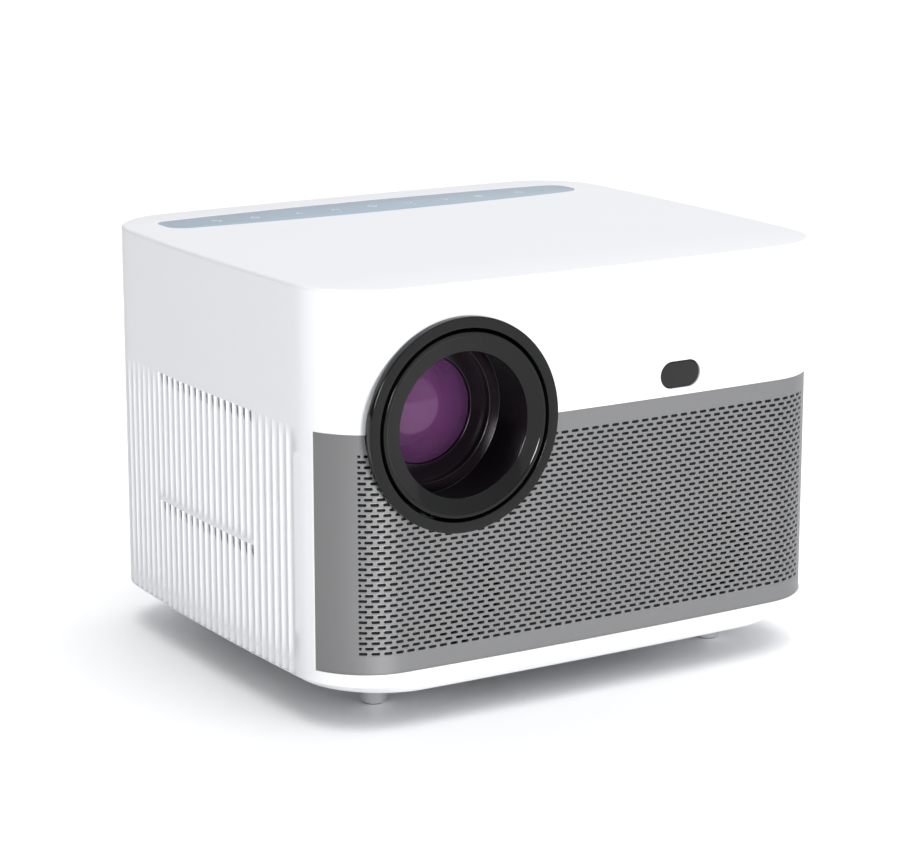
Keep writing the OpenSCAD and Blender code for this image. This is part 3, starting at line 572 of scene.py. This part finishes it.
base = Build()
top_ring, low_ring = body_ring(0, base_z), under_ring(0, under_z)
base.plate([under_ring(0.0008, under_z)] + base_holes(under_z))
base.plate([under_ring(0.003, floor_z)] + base_holes(floor_z))
for low, high in zip(base_holes(under_z), base_holes(floor_z)):
    base.skin([low, high])
bevel = [between(low_ring, top_ring, k, under_z + (base_z - under_z) * h)
         for k, h in ((0.06, 0.05), (0.2, 0.17), (0.4, 0.36), (0.6, 0.56), (0.78, 0.74), (0.9, 0.865),
                      (0.97, 0.935), (0.995, 0.975), (1.0, 1.0))]
base.skin([under_ring(0.0008, under_z), under_ring(0.0001, under_z + 0.0001)] + bevel)
base.skin([top_ring, body_ring(wall, base_z), under_ring(0.003, floor_z)])
base_tray = base.finish("base_tray", "projector", ["base_plate"])
base_tray.data.materials.append(white_plastic)

# ---- speaker grille ---------------------------------------------------------
# Steel sheet, 1.2 mm, punched with staggered slots, wrapped round both front
# corners and sprayed a dark metallic grey. A cloth-black baffle backs it.

slot_pitch, row_pitch, slot_rows, slot_columns = 0.0051, 0.002245, 38, 45
slot_length, slot_height = 0.0036, 0.00125
grille_half = grille_edge - 0.0003
grille_low, grille_high = band_z + 0.00015, cover_z - 0.00015
first_row = (grille_low + grille_high - row_pitch * slot_rows) / 2


def tile(name, width, centre, length, n=5):
    """One cell of the sheet, from its lower left corner, with one punched hole."""
    mesh = bpy.data.meshes.new(name)
    half = slot_pitch / 2
    steps = round(width / half)
    r, flat_part = slot_height / 2, (length - slot_height) / 2
    edge = [(half * k, 0, 0) for k in range(steps + 1)]
    edge += [(half * k, row_pitch, 0) for k in reversed(range(steps + 1))]
    hole = [(centre + side * flat_part + r * math.cos(math.radians(start + 180 * k / n)),
             row_pitch / 2 + r * math.sin(math.radians(start + 180 * k / n)), 0)
            for side, start in ((1, -90), (-1, 90)) for k in range(n + 1)]
    mesh.from_pydata(edge + hole, [], [tuple(f) for f in tessellate_polygon([edge, hole])])
    cell = bpy.data.objects.new(name, mesh)
    scene.collection.objects.link(cell)
    return cell


slot_tile = tile("slot_tile", slot_pitch, slot_pitch / 2, slot_length)
left_dot = tile("left_dot", slot_pitch / 2, 0.0015, slot_height * 1.02, n=6)
right_dot = tile("right_dot", slot_pitch / 2, slot_pitch / 2 - 0.0015, slot_height * 1.02, n=6)

punch = bpy.data.node_groups.new("punched_sheet", "GeometryNodeTree")
for label, kind in (("Slot", "NodeSocketObject"), ("Left Dot", "NodeSocketObject"), ("Right Dot", "NodeSocketObject"),
                    ("Pitch", "NodeSocketFloat"), ("Row Pitch", "NodeSocketFloat"), ("Half Width", "NodeSocketFloat"),
                    ("Low", "NodeSocketFloat"), ("High", "NodeSocketFloat"), ("First Row", "NodeSocketFloat"),
                    ("Columns", "NodeSocketInt"), ("Rows", "NodeSocketInt"), ("Finish", "NodeSocketMaterial")):
    punch.interface.new_socket(label, in_out="INPUT", socket_type=kind)
punch.interface.new_socket("Geometry", in_out="OUTPUT", socket_type="NodeSocketGeometry")
have = wired(punch, "NodeGroupInput").outputs


def maths(operation, a, b=0.0, c=0.0):
    return wired(punch, "ShaderNodeMath", {0: a, 1: b, 2: c}, operation=operation).outputs[0]


def at(x, y):
    return wired(punch, "ShaderNodeCombineXYZ", {"X": x, "Y": y}).outputs[0]


def moved(geometry, x, y):
    return wired(punch, "GeometryNodeTransform", {"Geometry": geometry, "Translation": at(x, y)}).outputs[0]


def row_of(cell, columns, x, first):
    """Copies of a tile in every second row, from a given row and place on."""
    spots = wired(punch, "GeometryNodeMeshLine", {"Count": columns, "Offset": at(have["Pitch"], 0.0)}).outputs[0]
    steps = maths("MULTIPLY", have["Row Pitch"], 2.0)
    stack = wired(punch, "GeometryNodeMeshLine", {"Count": maths("MULTIPLY", have["Rows"], 0.5),
                                                  "Offset": at(0.0, steps)}).outputs[0]
    grid = wired(punch, "GeometryNodeInstanceOnPoints", {"Points": stack, "Instance": spots}).outputs[0]
    grid = wired(punch, "GeometryNodeRealizeInstances", {"Geometry": grid}).outputs[0]
    shape = wired(punch, "GeometryNodeObjectInfo", {"Object": cell}).outputs["Geometry"]
    laid = wired(punch, "GeometryNodeInstanceOnPoints", {"Points": grid, "Instance": shape}).outputs[0]
    y = maths("MULTIPLY_ADD", have["Row Pitch"], first, have["First Row"])
    return moved(laid, x, y)


def plain(width, height, across, up, x, y):
    """A plain strip of the sheet, centred at a place, split so that it meets the tiles."""
    grid = wired(punch, "GeometryNodeMeshGrid", {"Size X": width, "Size Y": height, "Vertices X": across,
                                                 "Vertices Y": up}).outputs["Mesh"]
    return moved(grid, x, y)


punched_width = maths("MULTIPLY", have["Pitch"], have["Columns"])
punched_height = maths("MULTIPLY", have["Row Pitch"], have["Rows"])
left_x = maths("MULTIPLY", punched_width, -0.5)
half_pitch = maths("MULTIPLY", have["Pitch"], 0.5)
across = maths("MULTIPLY_ADD", have["Columns"], 2.0, 1.0)
up = maths("ADD", have["Rows"], 1.0)
side_width = maths("SUBTRACT", have["Half Width"], maths("MULTIPLY", punched_width, 0.5))
side_x = maths("SUBTRACT", have["Half Width"], maths("MULTIPLY", side_width, 0.5))
low_height = maths("SUBTRACT", have["First Row"], have["Low"])
last_row = maths("ADD", have["First Row"], punched_height)
high_height = maths("SUBTRACT", have["High"], last_row)
middle_y = maths("MULTIPLY_ADD", punched_height, 0.5, have["First Row"])
low_y = maths("MULTIPLY_ADD", low_height, 0.5, have["Low"])
high_y = maths("MULTIPLY_ADD", high_height, 0.5, last_row)
parts = [row_of(have["Slot"], have["Columns"], left_x, 0.0),
         row_of(have["Slot"], maths("SUBTRACT", have["Columns"], 1.0), maths("ADD", left_x, half_pitch), 1.0),
         row_of(have["Left Dot"], 1, left_x, 1.0),
         row_of(have["Right Dot"], 1, maths("SUBTRACT", maths("MULTIPLY", left_x, -1.0), half_pitch), 1.0)]
for height, y in ((low_height, low_y), (high_height, high_y)):
    parts.append(plain(punched_width, height, across, 3, 0.0, y))
    for side in (-1.0, 1.0):
        parts.append(plain(side_width, height, 9, 3, maths("MULTIPLY", side_x, side), y))
for side in (-1.0, 1.0):
    parts.append(plain(side_width, punched_height, 9, up, maths("MULTIPLY", side_x, side), middle_y))
joined = wired(punch, "GeometryNodeJoinGeometry")
for part in parts:
    punch.links.new(part, joined.inputs[0])
whole = wired(punch, "GeometryNodeRealizeInstances", {"Geometry": joined.outputs[0]}).outputs[0]
whole = wired(punch, "GeometryNodeMergeByDistance", {"Geometry": whole, "Distance": 0.00002}).outputs[0]
whole = wired(punch, "GeometryNodeSetMaterial", {"Geometry": whole, "Material": have["Finish"]}).outputs[0]
wired(punch, "NodeGroupOutput", {"Geometry": whole})

grille_paint = moulded("grey_metallic_paint", (0.21, 0.21, 0.213), 0.48, drift=0.02, size=2600.0, depth=0.02,
                       metallic=0.5)
sheet = bpy.data.objects.new("punched_sheet", bpy.data.meshes.new("punched_sheet"))
scene.collection.objects.link(sheet)
press = sheet.modifiers.new("punch", "NODES")
press.node_group = punch
sockets = {item.name: item.identifier for item in punch.interface.items_tree if item.in_out == "INPUT"}
for label, value in (("Slot", slot_tile), ("Left Dot", left_dot), ("Right Dot", right_dot), ("Pitch", slot_pitch),
                     ("Row Pitch", row_pitch), ("Half Width", grille_half), ("Low", grille_low),
                     ("High", grille_high), ("First Row", first_row), ("Columns", slot_columns),
                     ("Rows", slot_rows), ("Finish", grille_paint)):
    press[sockets[label]] = value
applied(sheet)
for cell in (slot_tile, left_dot, right_dot):
    bpy.data.objects.remove(cell)

# the flat sheet is wrapped round the front and given its thickness
flat_points = [tuple(v.co) for v in sheet.data.vertices]
flat_faces = [tuple(f.vertices) for f in sheet.data.polygons]
count = len(flat_points)
grille = Build()
for depth in (0.0005, 0.0017):
    grille.corners += [(*on_wall(x, depth), y) for x, y, _ in flat_points]
used = {}
for face in flat_faces:
    for a, b in zip(face, face[1:] + face[:1]):
        used[(a, b)] = used.get((a, b), 0) + 1
grille.faces = flat_faces + [tuple(count + k for k in reversed(face)) for face in flat_faces]
grille.faces += [(b, a, a + count, b + count) for a, b in used if (b, a) not in used]
bpy.data.objects.remove(sheet)
speaker_grille = grille.finish("speaker_grille", "projector", ["front_grille"])
speaker_grille.data.materials.append(grille_paint)
neck_cutter = Build()
neck_cutter.turned([(0.0, -0.130), (neck_hole, -0.130), (neck_hole, -0.080), (0.0, -0.080)], lens_x, lens_z, 0)
cut_away(speaker_grille, neck_cutter.finish("neck_cutter", None))

# ---- lens ring and barrel ---------------------------------------------------
# Two turned-looking mouldings in black polycarbonate, polished on their faces:
# the fixed ring on the front, and the focusing barrel that slides inside it
# with a narrow dark gap between them. Tiny rounded edges catch the light.

lens_y = -half_d - front_crown * (1 - (lens_x / half_w) ** 2) - 0.0032
ring_r, ring_bore, ring_t = 0.045, 0.0403, 0.0035


def rounded_profile(points, radii, steps=4):
    """Rounds the corners of an open profile of (radius, depth) points."""
    out = []
    for k, (p, r) in enumerate(zip(points, radii)):
        if r == 0 or k in (0, len(points) - 1):
            out.append(p)
            continue
        p = np.array(p)
        a, b = np.array(points[k - 1]) - p, np.array(points[k + 1]) - p
        a, b = a / np.linalg.norm(a), b / np.linalg.norm(b)
        for i in range(steps + 1):
            t = i / steps
            out.append(tuple(p + r * ((1 - t) ** 2 * a + t ** 2 * b)))
    return out


gloss_black = moulded("polished_black", (0.005, 0.005, 0.0052), 0.09, drift=0.05, size=900.0, depth=0.004,
                      Specular_IOR_Level=0.24, Coat_Weight=0.08, Coat_Roughness=0.03)
inner_black = moulded("blackened_bore", (0.007, 0.004, 0.0065), 0.20, drift=0.05, size=700.0, depth=0.01)

ring_profile = rounded_profile(
    [(ring_bore, 0.0145), (ring_bore, 0.0), (ring_r, 0.0), (ring_r, ring_t), (0.0418, ring_t), (0.0418, 0.0145),
     (ring_bore, 0.0145)], [0, 0.0003, 0.0005, 0.0003, 0, 0, 0])
collar = Build()
collar.turned(ring_profile, lens_x, lens_z, lens_y)
lens_collar = collar.finish("lens_collar", "projector", ["lens_ring"], sharp=40)
lens_collar.data.materials.append(gloss_black)

barrel_r, bore_r, tail_r = 0.0387, 0.0305, 0.026
front_r = 0.023
cup_l, cup_floor = 0.042, 0.034
barrel_l = -0.0385 - 0.005 - lens_y
barrel_profile = rounded_profile(
    [(tail_r - 0.007, barrel_l), (tail_r - 0.007, cup_l + 0.006), (front_r - 0.003, cup_l),
     (front_r - 0.003, cup_floor + 0.006), (front_r + 0.0002, cup_floor + 0.006), (front_r + 0.0002, cup_floor),
     (0.0307, cup_floor), (0.0307, cup_floor - 0.003), (0.0357, cup_floor - 0.003), (0.0357, 0.005),
     (0.0352, 0.0034), (bore_r, 0.0026), (bore_r, 0.0013), (0.0369, 0.0002), (0.0372, 0.0), (barrel_r, 0.0),
     (barrel_r, cup_l), (tail_r, cup_l), (tail_r, barrel_l), (tail_r - 0.007, barrel_l)],
    [0, 0, 0, 0, 0, 0.0003, 0, 0.0004, 0.0004, 0, 0, 0.0003, 0.0003, 0.0004, 0.0002, 0.0004, 0.0005, 0, 0.0005, 0])
barrel = Build()
barrel.turned(barrel_profile, lens_x, lens_z, lens_y)
focus_barrel = barrel.finish("focus_barrel", "lens", ["lens_barrel"], sharp=40)
focus_barrel.data.materials.append(gloss_black)
focus_barrel.data.materials.append(inner_black)
for face in focus_barrel.data.polygons:
    depth = face.center.y - lens_y
    radius = math.hypot(face.center.x - lens_x, face.center.z - lens_z)
    if depth > 0.0016 and radius < 0.0365:
        face.material_index = 1

# ---- front lens -------------------------------------------------------------
# A ground glass element with a magenta anti-reflection coating; behind it the
# next element of the group shows as a second, smaller disc, its lighter magenta
# a painted reflection over the element's own coating colour.


def coated(name, color, roughness, metallic, alpha):
    """Coated glass: its colour grows a little towards the rim, as thin films do."""
    material = bpy.data.materials.new(name)
    material.use_nodes = True
    tree = material.node_tree
    spot = wired(tree, "ShaderNodeTexCoord").outputs["Object"]
    near = wired(tree, "ShaderNodeVectorMath", {0: spot, 1: (lens_x, lens_y + cup_floor, lens_z)},
                 operation="DISTANCE").outputs["Value"]
    rim = wired(tree, "ShaderNodeMapRange", {"Value": near, "From Min": 0.004, "From Max": front_r}).outputs[0]
    cloud = wired(tree, "ShaderNodeTexNoise", {"Vector": spot, "Scale": 60.0, "Detail": 2.0}).outputs["Fac"]
    shift = wired(tree, "ShaderNodeMath", {0: cloud, 1: 0.25, 2: rim}, operation="MULTIPLY_ADD").outputs[0]
    ramp = wired(tree, "ShaderNodeValToRGB", {"Fac": shift})
    ramp.color_ramp.elements[0].color = (*color, 1)
    ramp.color_ramp.elements[1].color = (color[0] * 0.62, color[1] * 0.7, color[2] * 0.72, 1)
    bsdf = tree.nodes["Principled BSDF"]
    tree.links.new(ramp.outputs["Color"], bsdf.inputs["Base Color"])
    for key, value in (("Roughness", roughness), ("Metallic", metallic), ("Alpha", alpha), ("IOR", 1.6)):
        bsdf.inputs[key].default_value = value
    return material


def cap(radius, base, bulge, back, rings=14):
    return [(max(radius * k / rings, 1e-7), base - bulge * (1 - (k / rings) ** 2)) for k in range(rings + 1)] + [
        (radius, back), (1e-7, back)]


for name, node, slot_name, profile, finish in (
        ("front_element", "front_lens", "front_glass",
         cap(front_r - 0.0001, cup_floor + 0.0015, 0.0065, cup_floor + 0.0058),
         coated("magenta_coating", (0.22, 0.065, 0.21), 0.08, 0.15, 0.55)),
        # painted reflection: the second element's light magenta stands in for light reflected inside the lens, laid
        # over a real coated element
        ("second_element", "middle_lens", "lens_glass", cap(0.01885, cup_l + 0.009, 0.002, cup_l + 0.0129),
         coated("magenta_coating_painted_reflection", (0.52, 0.17, 0.46), 0.08, 0.2, 1.0)),
        ("third_element", "rear_lens", "lens_glass", cap(0.01885, cup_l + 0.017, 0.002, cup_l + 0.0219),
         coated("blue_inner_coating", (0.30, 0.32, 0.55), 0.06, 0.6, 1.0))):
    element = Build()
    element.turned(profile, lens_x, lens_z, lens_y, n=96)
    glass = element.finish(name, "lens", [node], sharp=50, joined=0.000001)
    glass.data.materials.append(finish)

# ---- sensor window ----------------------------------------------------------
# A small dark acrylic window with softened edges, pressed into the cover in
# front of the camera and distance sensor that set the focus.

window_y = -half_d - front_crown * (1 - ((window_x + window_w / 2) / half_w) ** 2) + 0.0005
dark_acrylic = moulded("smoked_acrylic", (0.011, 0.011, 0.0115), 0.16, drift=0.04, size=1200.0, depth=0.004,
                       Specular_IOR_Level=0.35)
pane = Build()
pane_rings = [obround(-0.0008 * (1 - math.sin(a)), window_y + 0.0004 * (1 - math.cos(a)))
              for a in (math.radians(18 * k) for k in range(6))]
pane_rings.append(obround(0, window_y + 0.0015))
pane.skin(pane_rings)
for outline in (pane_rings[0], pane_rings[-1]):
    end_face(pane, outline)
sensor_pane = pane.finish("sensor_pane", "projector", ["sensor_window"])
sensor_pane.data.materials.append(dark_acrylic)

# ---- touch strip ------------------------------------------------------------
# A blue-grey acrylic strip with a satin face, glued into the cover's recess.
# Nine generic key marks are screen-printed on it in white, two with a small printed dot.

strip_face = moulded("satin_blue_acrylic", (0.33, 0.42, 0.50), 0.30, drift=0.03, size=1600.0, depth=0.006)
strip = Build()
strip_top = top_z - 0.00012
strip_rings = [strip_ring(0.00035, strip_top), strip_ring(0.0001, strip_top - 0.0001),
               strip_ring(0.0, strip_top - 0.00035), strip_ring(0.0, top_z - strip_t - 0.00003)]
strip.skin(strip_rings)
strip.plate([strip_rings[0]])
strip.plate([strip_rings[-1]])
touch_panel = strip.finish("touch_panel", "projector", ["touch_strip"])
touch_panel.data.materials.append(strip_face)

print_ink = moulded("white_print", (0.86, 0.88, 0.90), 0.45, drift=0.02, size=1800.0, depth=0.002)
marks = Build()
mark_z = strip_top + 0.00002


def stroke(points, width, closed=False):
    """A printed line of one width through some points, as one flat strip."""
    points = [np.array(p) for p in points]
    n = len(points)
    sides = []
    for k, p in enumerate(points):
        before = points[k - 1] if k or closed else p
        after = points[(k + 1) % n] if k < n - 1 or closed else p
        along = after - before
        along = along / np.linalg.norm(along)
        across = np.array((-along[1], along[0])) * width / 2
        sides.append((p + across, p - across))
    for k in range(n if closed else n - 1):
        (a, b), (c, d) = sides[k], sides[(k + 1) % n]
        index = marks.loop([(*q, z) for z in (mark_z, mark_z + 0.00004) for q in (a, b, d, c)])
        for f in ((3, 2, 1, 0), (4, 5, 6, 7), (0, 1, 5, 4), (1, 2, 6, 5), (2, 3, 7, 6), (3, 0, 4, 7)):
            marks.faces.append(tuple(index[q] for q in f))


def arc_points(x, y, r, start, sweep_angle, n=16):
    return [(x + r * math.cos(math.radians(start + sweep_angle * k / n)),
             y + r * math.sin(math.radians(start + sweep_angle * k / n))) for k in range(n + 1)]


key_y = 0.0775
ink = 0.0005
for x, kind in ((-0.082, "back"), (-0.063, "home"), (-0.040, "left"), (-0.021, "dot_up"), (-0.001, "ok"),
                (0.019, "dot_down"), (0.039, "right"), (0.0575, "menu"), (0.080, "power")):
    r = 0.0021
    if kind == "power":
        stroke(arc_points(x, key_y, r, 125, 290), ink)
        stroke([(x, key_y + 0.0004), (x, key_y + r * 1.2)], ink)
    elif kind == "back":
        stroke(arc_points(x, key_y, r * 0.8, -90, 180), ink)
        stroke([(x - r, key_y + r * 0.8), (x, key_y + r * 0.8)], ink)
        stroke([(x - r * 0.4, key_y + r * 1.4), (x - r, key_y + r * 0.8), (x - r * 0.4, key_y + r * 0.2)], ink)
    elif kind == "home":
        stroke([(x - r, key_y), (x, key_y + r), (x + r, key_y)], ink)
        stroke([(x - r * 0.7, key_y), (x - r * 0.7, key_y - r), (x + r * 0.7, key_y - r), (x + r * 0.7, key_y)], ink)
    elif kind in ("left", "right"):
        way = -1 if kind == "left" else 1
        stroke([(x - way * r * 0.4, key_y + r), (x + way * r * 0.6, key_y), (x - way * r * 0.4, key_y - r)], ink)
    elif kind in ("dot_up", "dot_down"):
        way = 1 if kind == "dot_up" else -1
        stroke([(x - r, key_y - way * r * 0.4), (x, key_y + way * r * 0.6), (x + r, key_y - way * r * 0.4)], ink)
        stroke(arc_points(x, key_y - 0.0052, 0.00028, 0, 330, 8), ink * 0.8, closed=True)
    elif kind == "ok":
        stroke(arc_points(x, key_y, r, 0, 345, 20), ink, closed=True)
    else:
        for up_by in (-0.0014, 0.0, 0.0014):
            stroke([(x - r, key_y + up_by), (x + r, key_y + up_by)], ink)
key_marks = marks.finish("key_marks", "projector", joined=1e-8)
key_marks.data.materials.append(print_ink)

# ---- feet -------------------------------------------------------------------
# Four splayed round feet of chromed zinc on the base, each with a thin grey
# rubber pad let into its bottom.

chrome = moulded("bright_chrome", (0.80, 0.81, 0.83), 0.12, drift=0.02, size=500.0, depth=0.004, metallic=1.0)
rubber = moulded("grey_rubber", (0.22, 0.22, 0.22), 0.75, drift=0.08, size=900.0, depth=0.05)
foot_x, foot_y = half_w - 0.0375, half_d - 0.0375
bowls, pads = Build(), Build()
bowl_profile = [(0.0, 0.0006), (0.0044, 0.0006), (0.0044, 0.0004), (0.0047, 0.00045), (0.0051, 0.0008),
                (0.0055, 0.0014),
                (0.0059, 0.0026), (0.0064, 0.0042), (0.0071, 0.0064), (0.0078, 0.0085), (0.0084, 0.0105),
                (0.0088, 0.0122), (0.009, 0.0134), (0.0, 0.0134)]
pad_profile = [(0.0, 0.0), (0.0040, 0.0), (0.0043, 0.0003), (0.0043, 0.0006), (0.0, 0.0006)]
for build, profile in ((bowls, bowl_profile), (pads, pad_profile)):
    for x in (-foot_x, foot_x):
        for y in (-foot_y, foot_y):
            build.skin([circle(x, y, max(r, 1e-7), z, 48) for r, z in profile])
foot_bowls = bowls.finish("foot_bowls", "projector", ["feet"], sharp=50, joined=0.000001)
foot_bowls.data.materials.append(chrome)
foot_pads = pads.finish("foot_pads", "projector", sharp=50, joined=0.000001)
foot_pads.data.materials.append(rubber)

# ---- works ------------------------------------------------------------------
# Everything behind the casing keeps its CAD shape: boards, fans, light engine,
# speakers, leads. Each kind gets its own finish, by the record's material slot.


def over(name, base_material, pattern):
    """A moulded material whose colour a pattern node changes between two tones."""
    tree = base_material.node_tree
    base_material.name = name
    group = next(n for n in tree.nodes if n.type == "GROUP")
    tree.links.new(pattern(tree), group.inputs["Color"])
    return base_material


def striped(light, dark, scale, stretch):
    def pattern(tree):
        spot = wired(tree, "ShaderNodeTexCoord").outputs["Object"]
        pulled = wired(tree, "ShaderNodeMapping", {"Vector": spot, "Scale": stretch}).outputs[0]
        lines = wired(tree, "ShaderNodeTexNoise", {"Vector": pulled, "Scale": scale, "Detail": 4.0}).outputs["Fac"]
        ramp = wired(tree, "ShaderNodeValToRGB", {"Fac": lines})
        ramp.color_ramp.elements[0].position, ramp.color_ramp.elements[1].position = 0.38, 0.62
        ramp.color_ramp.elements[0].color, ramp.color_ramp.elements[1].color = (*dark, 1), (*light, 1)
        return ramp.outputs["Color"]
    return pattern


def tracked(light, dark, scale):
    def pattern(tree):
        spot = wired(tree, "ShaderNodeTexCoord").outputs["Object"]
        cells = wired(tree, "ShaderNodeTexBrick", {
            "Vector": spot, "Color1": (*light, 1), "Color2": (*light, 1), "Mortar": (*dark, 1),
            "Scale": scale, "Mortar Size": 0.12})
        return cells.outputs["Color"]
    return pattern


brushed = over("brushed_aluminium", moulded("aluminium", (0.75, 0.76, 0.78), 0.3, metallic=1.0, depth=0.02),
               striped((0.80, 0.81, 0.83), (0.62, 0.63, 0.65), 180.0, (0.15, 1.0, 1.0)))
finishes = {
    "inner_black": moulded("baffle_black", (0.012, 0.012, 0.012), 0.85, drift=0.2, size=900.0, depth=0.08),
    "filter_foam": over("open_foam", moulded("foam", (0.03, 0.03, 0.03), 0.95, size=900.0, depth=0.4),
                        striped((0.045, 0.046, 0.048), (0.008, 0.008, 0.009), 900.0, (1.0, 1.0, 1.0))),
    "camera_black": moulded("camera_black", (0.02, 0.02, 0.022), 0.35, depth=0.02),
    "brass": over("machined_brass", moulded("brass", (0.78, 0.58, 0.26), 0.28, metallic=1.0, depth=0.02),
                  striped((0.80, 0.60, 0.28), (0.62, 0.44, 0.18), 300.0, (1.0, 1.0, 0.1))),
    "panel_black": moulded("textured_black", (0.03, 0.03, 0.032), 0.55, drift=0.08, size=1100.0, depth=0.06),
    "socket_steel": over("nickel_plate", moulded("nickel", (0.7, 0.69, 0.67), 0.25, metallic=1.0, depth=0.02),
                         striped((0.74, 0.73, 0.70), (0.58, 0.57, 0.55), 260.0, (1.0, 0.1, 1.0))),
    "board_green": over("solder_mask_green", moulded("mask", (0.02, 0.16, 0.06), 0.35, depth=0.03),
                        tracked((0.02, 0.16, 0.06), (0.03, 0.26, 0.10), 130.0)),
    "board_brown": over("paper_laminate", moulded("laminate", (0.35, 0.2, 0.09), 0.5, depth=0.03),
                        striped((0.38, 0.22, 0.10), (0.28, 0.16, 0.07), 120.0, (1.0, 0.3, 1.0))),
    "aluminium": brushed,
    "winding": over("wound_copper", moulded("copper", (0.7, 0.42, 0.12), 0.4, depth=0.1),
                    striped((0.78, 0.50, 0.16), (0.42, 0.22, 0.06), 900.0, (0.05, 0.05, 1.0))),
    "capacitor_sleeve": moulded("shrink_sleeve", (0.03, 0.04, 0.16), 0.3, depth=0.02),
    "post_steel": over("zinc_plate", moulded("zinc", (0.6, 0.61, 0.62), 0.35, metallic=1.0, depth=0.03),
                       striped((0.66, 0.67, 0.66), (0.5, 0.51, 0.52), 90.0, (1.0, 1.0, 1.0))),
    "speaker_steel": moulded("enamelled_steel", (0.03, 0.03, 0.03), 0.5, depth=0.04, metallic=0.3),
    "cone_paper": over("pressed_paper", moulded("paper", (0.04, 0.04, 0.04), 0.9, depth=0.2),
                       striped((0.06, 0.058, 0.055), (0.025, 0.025, 0.025), 400.0, (1.0, 1.0, 1.0))),
    "engine_black": over("glass_filled_nylon", moulded("nylon", (0.02, 0.02, 0.022), 0.6, depth=0.08),
                         striped((0.032, 0.032, 0.034), (0.014, 0.014, 0.015), 260.0, (0.3, 1.0, 1.0))),
    "mirror_glass": moulded("silvered_mirror", (0.82, 0.86, 0.9), 0.03, metallic=1.0, depth=0.002),
    "fresnel_acrylic": over("fresnel_rings", moulded("fresnel", (0.8, 0.87, 0.9), 0.12, depth=0.01),
                            striped((0.86, 0.92, 0.95), (0.66, 0.74, 0.79), 500.0, (1.0, 1.0, 0.1))),
    "lcd_glass": over("panel_glass", moulded("lcd", (0.08, 0.09, 0.11), 0.08, depth=0.005),
                      tracked((0.08, 0.09, 0.11), (0.12, 0.13, 0.16), 400.0)),
    "heat_glass_pane": moulded("heat_filter", (0.55, 0.78, 0.70), 0.06, depth=0.004),
    "reflector_sheet": moulded("bright_reflector", (0.85, 0.86, 0.88), 0.08, metallic=1.0, depth=0.004),
    "led_phosphor": over("ceramic_board", moulded("ceramic", (0.85, 0.78, 0.45), 0.4, depth=0.03),
                         tracked((0.86, 0.80, 0.46), (0.70, 0.64, 0.36), 220.0)),
    "fan_black": moulded("fan_plastic", (0.018, 0.018, 0.019), 0.38, depth=0.04),
    "duct_grey": moulded("duct_plastic", (0.09, 0.09, 0.092), 0.5, depth=0.05),
    "screw_steel": over("rolled_thread", moulded("thread", (0.55, 0.56, 0.58), 0.3, metallic=1.0, depth=0.03),
                        striped((0.68, 0.69, 0.71), (0.3, 0.31, 0.32), 900.0, (0.05, 1.0, 0.05))),
    "screw_black": moulded("black_zinc", (0.03, 0.03, 0.033), 0.35, metallic=0.7, depth=0.03),
    "wire_red": moulded("red_pvc", (0.45, 0.03, 0.02), 0.4, depth=0.02),
    "wire_black": moulded("black_pvc", (0.02, 0.02, 0.02), 0.4, depth=0.02),
}
replaced = {"top_cover", "main_housing", "base_plate", "front_grille", "lens_ring", "lens_barrel", "front_lens",
            "middle_lens", "rear_lens", "sensor_window", "touch_strip", "feet"}
for part in frame["record"]["subparts"]:
    if part["node"] in replaced:
        continue
    kept = nodes[part["node"]]
    finish = finishes[part["material_slot"]]
    if kept.material_slots:
        for holder in kept.material_slots:
            holder.material = finish
    else:
        kept.data.materials.append(finish)
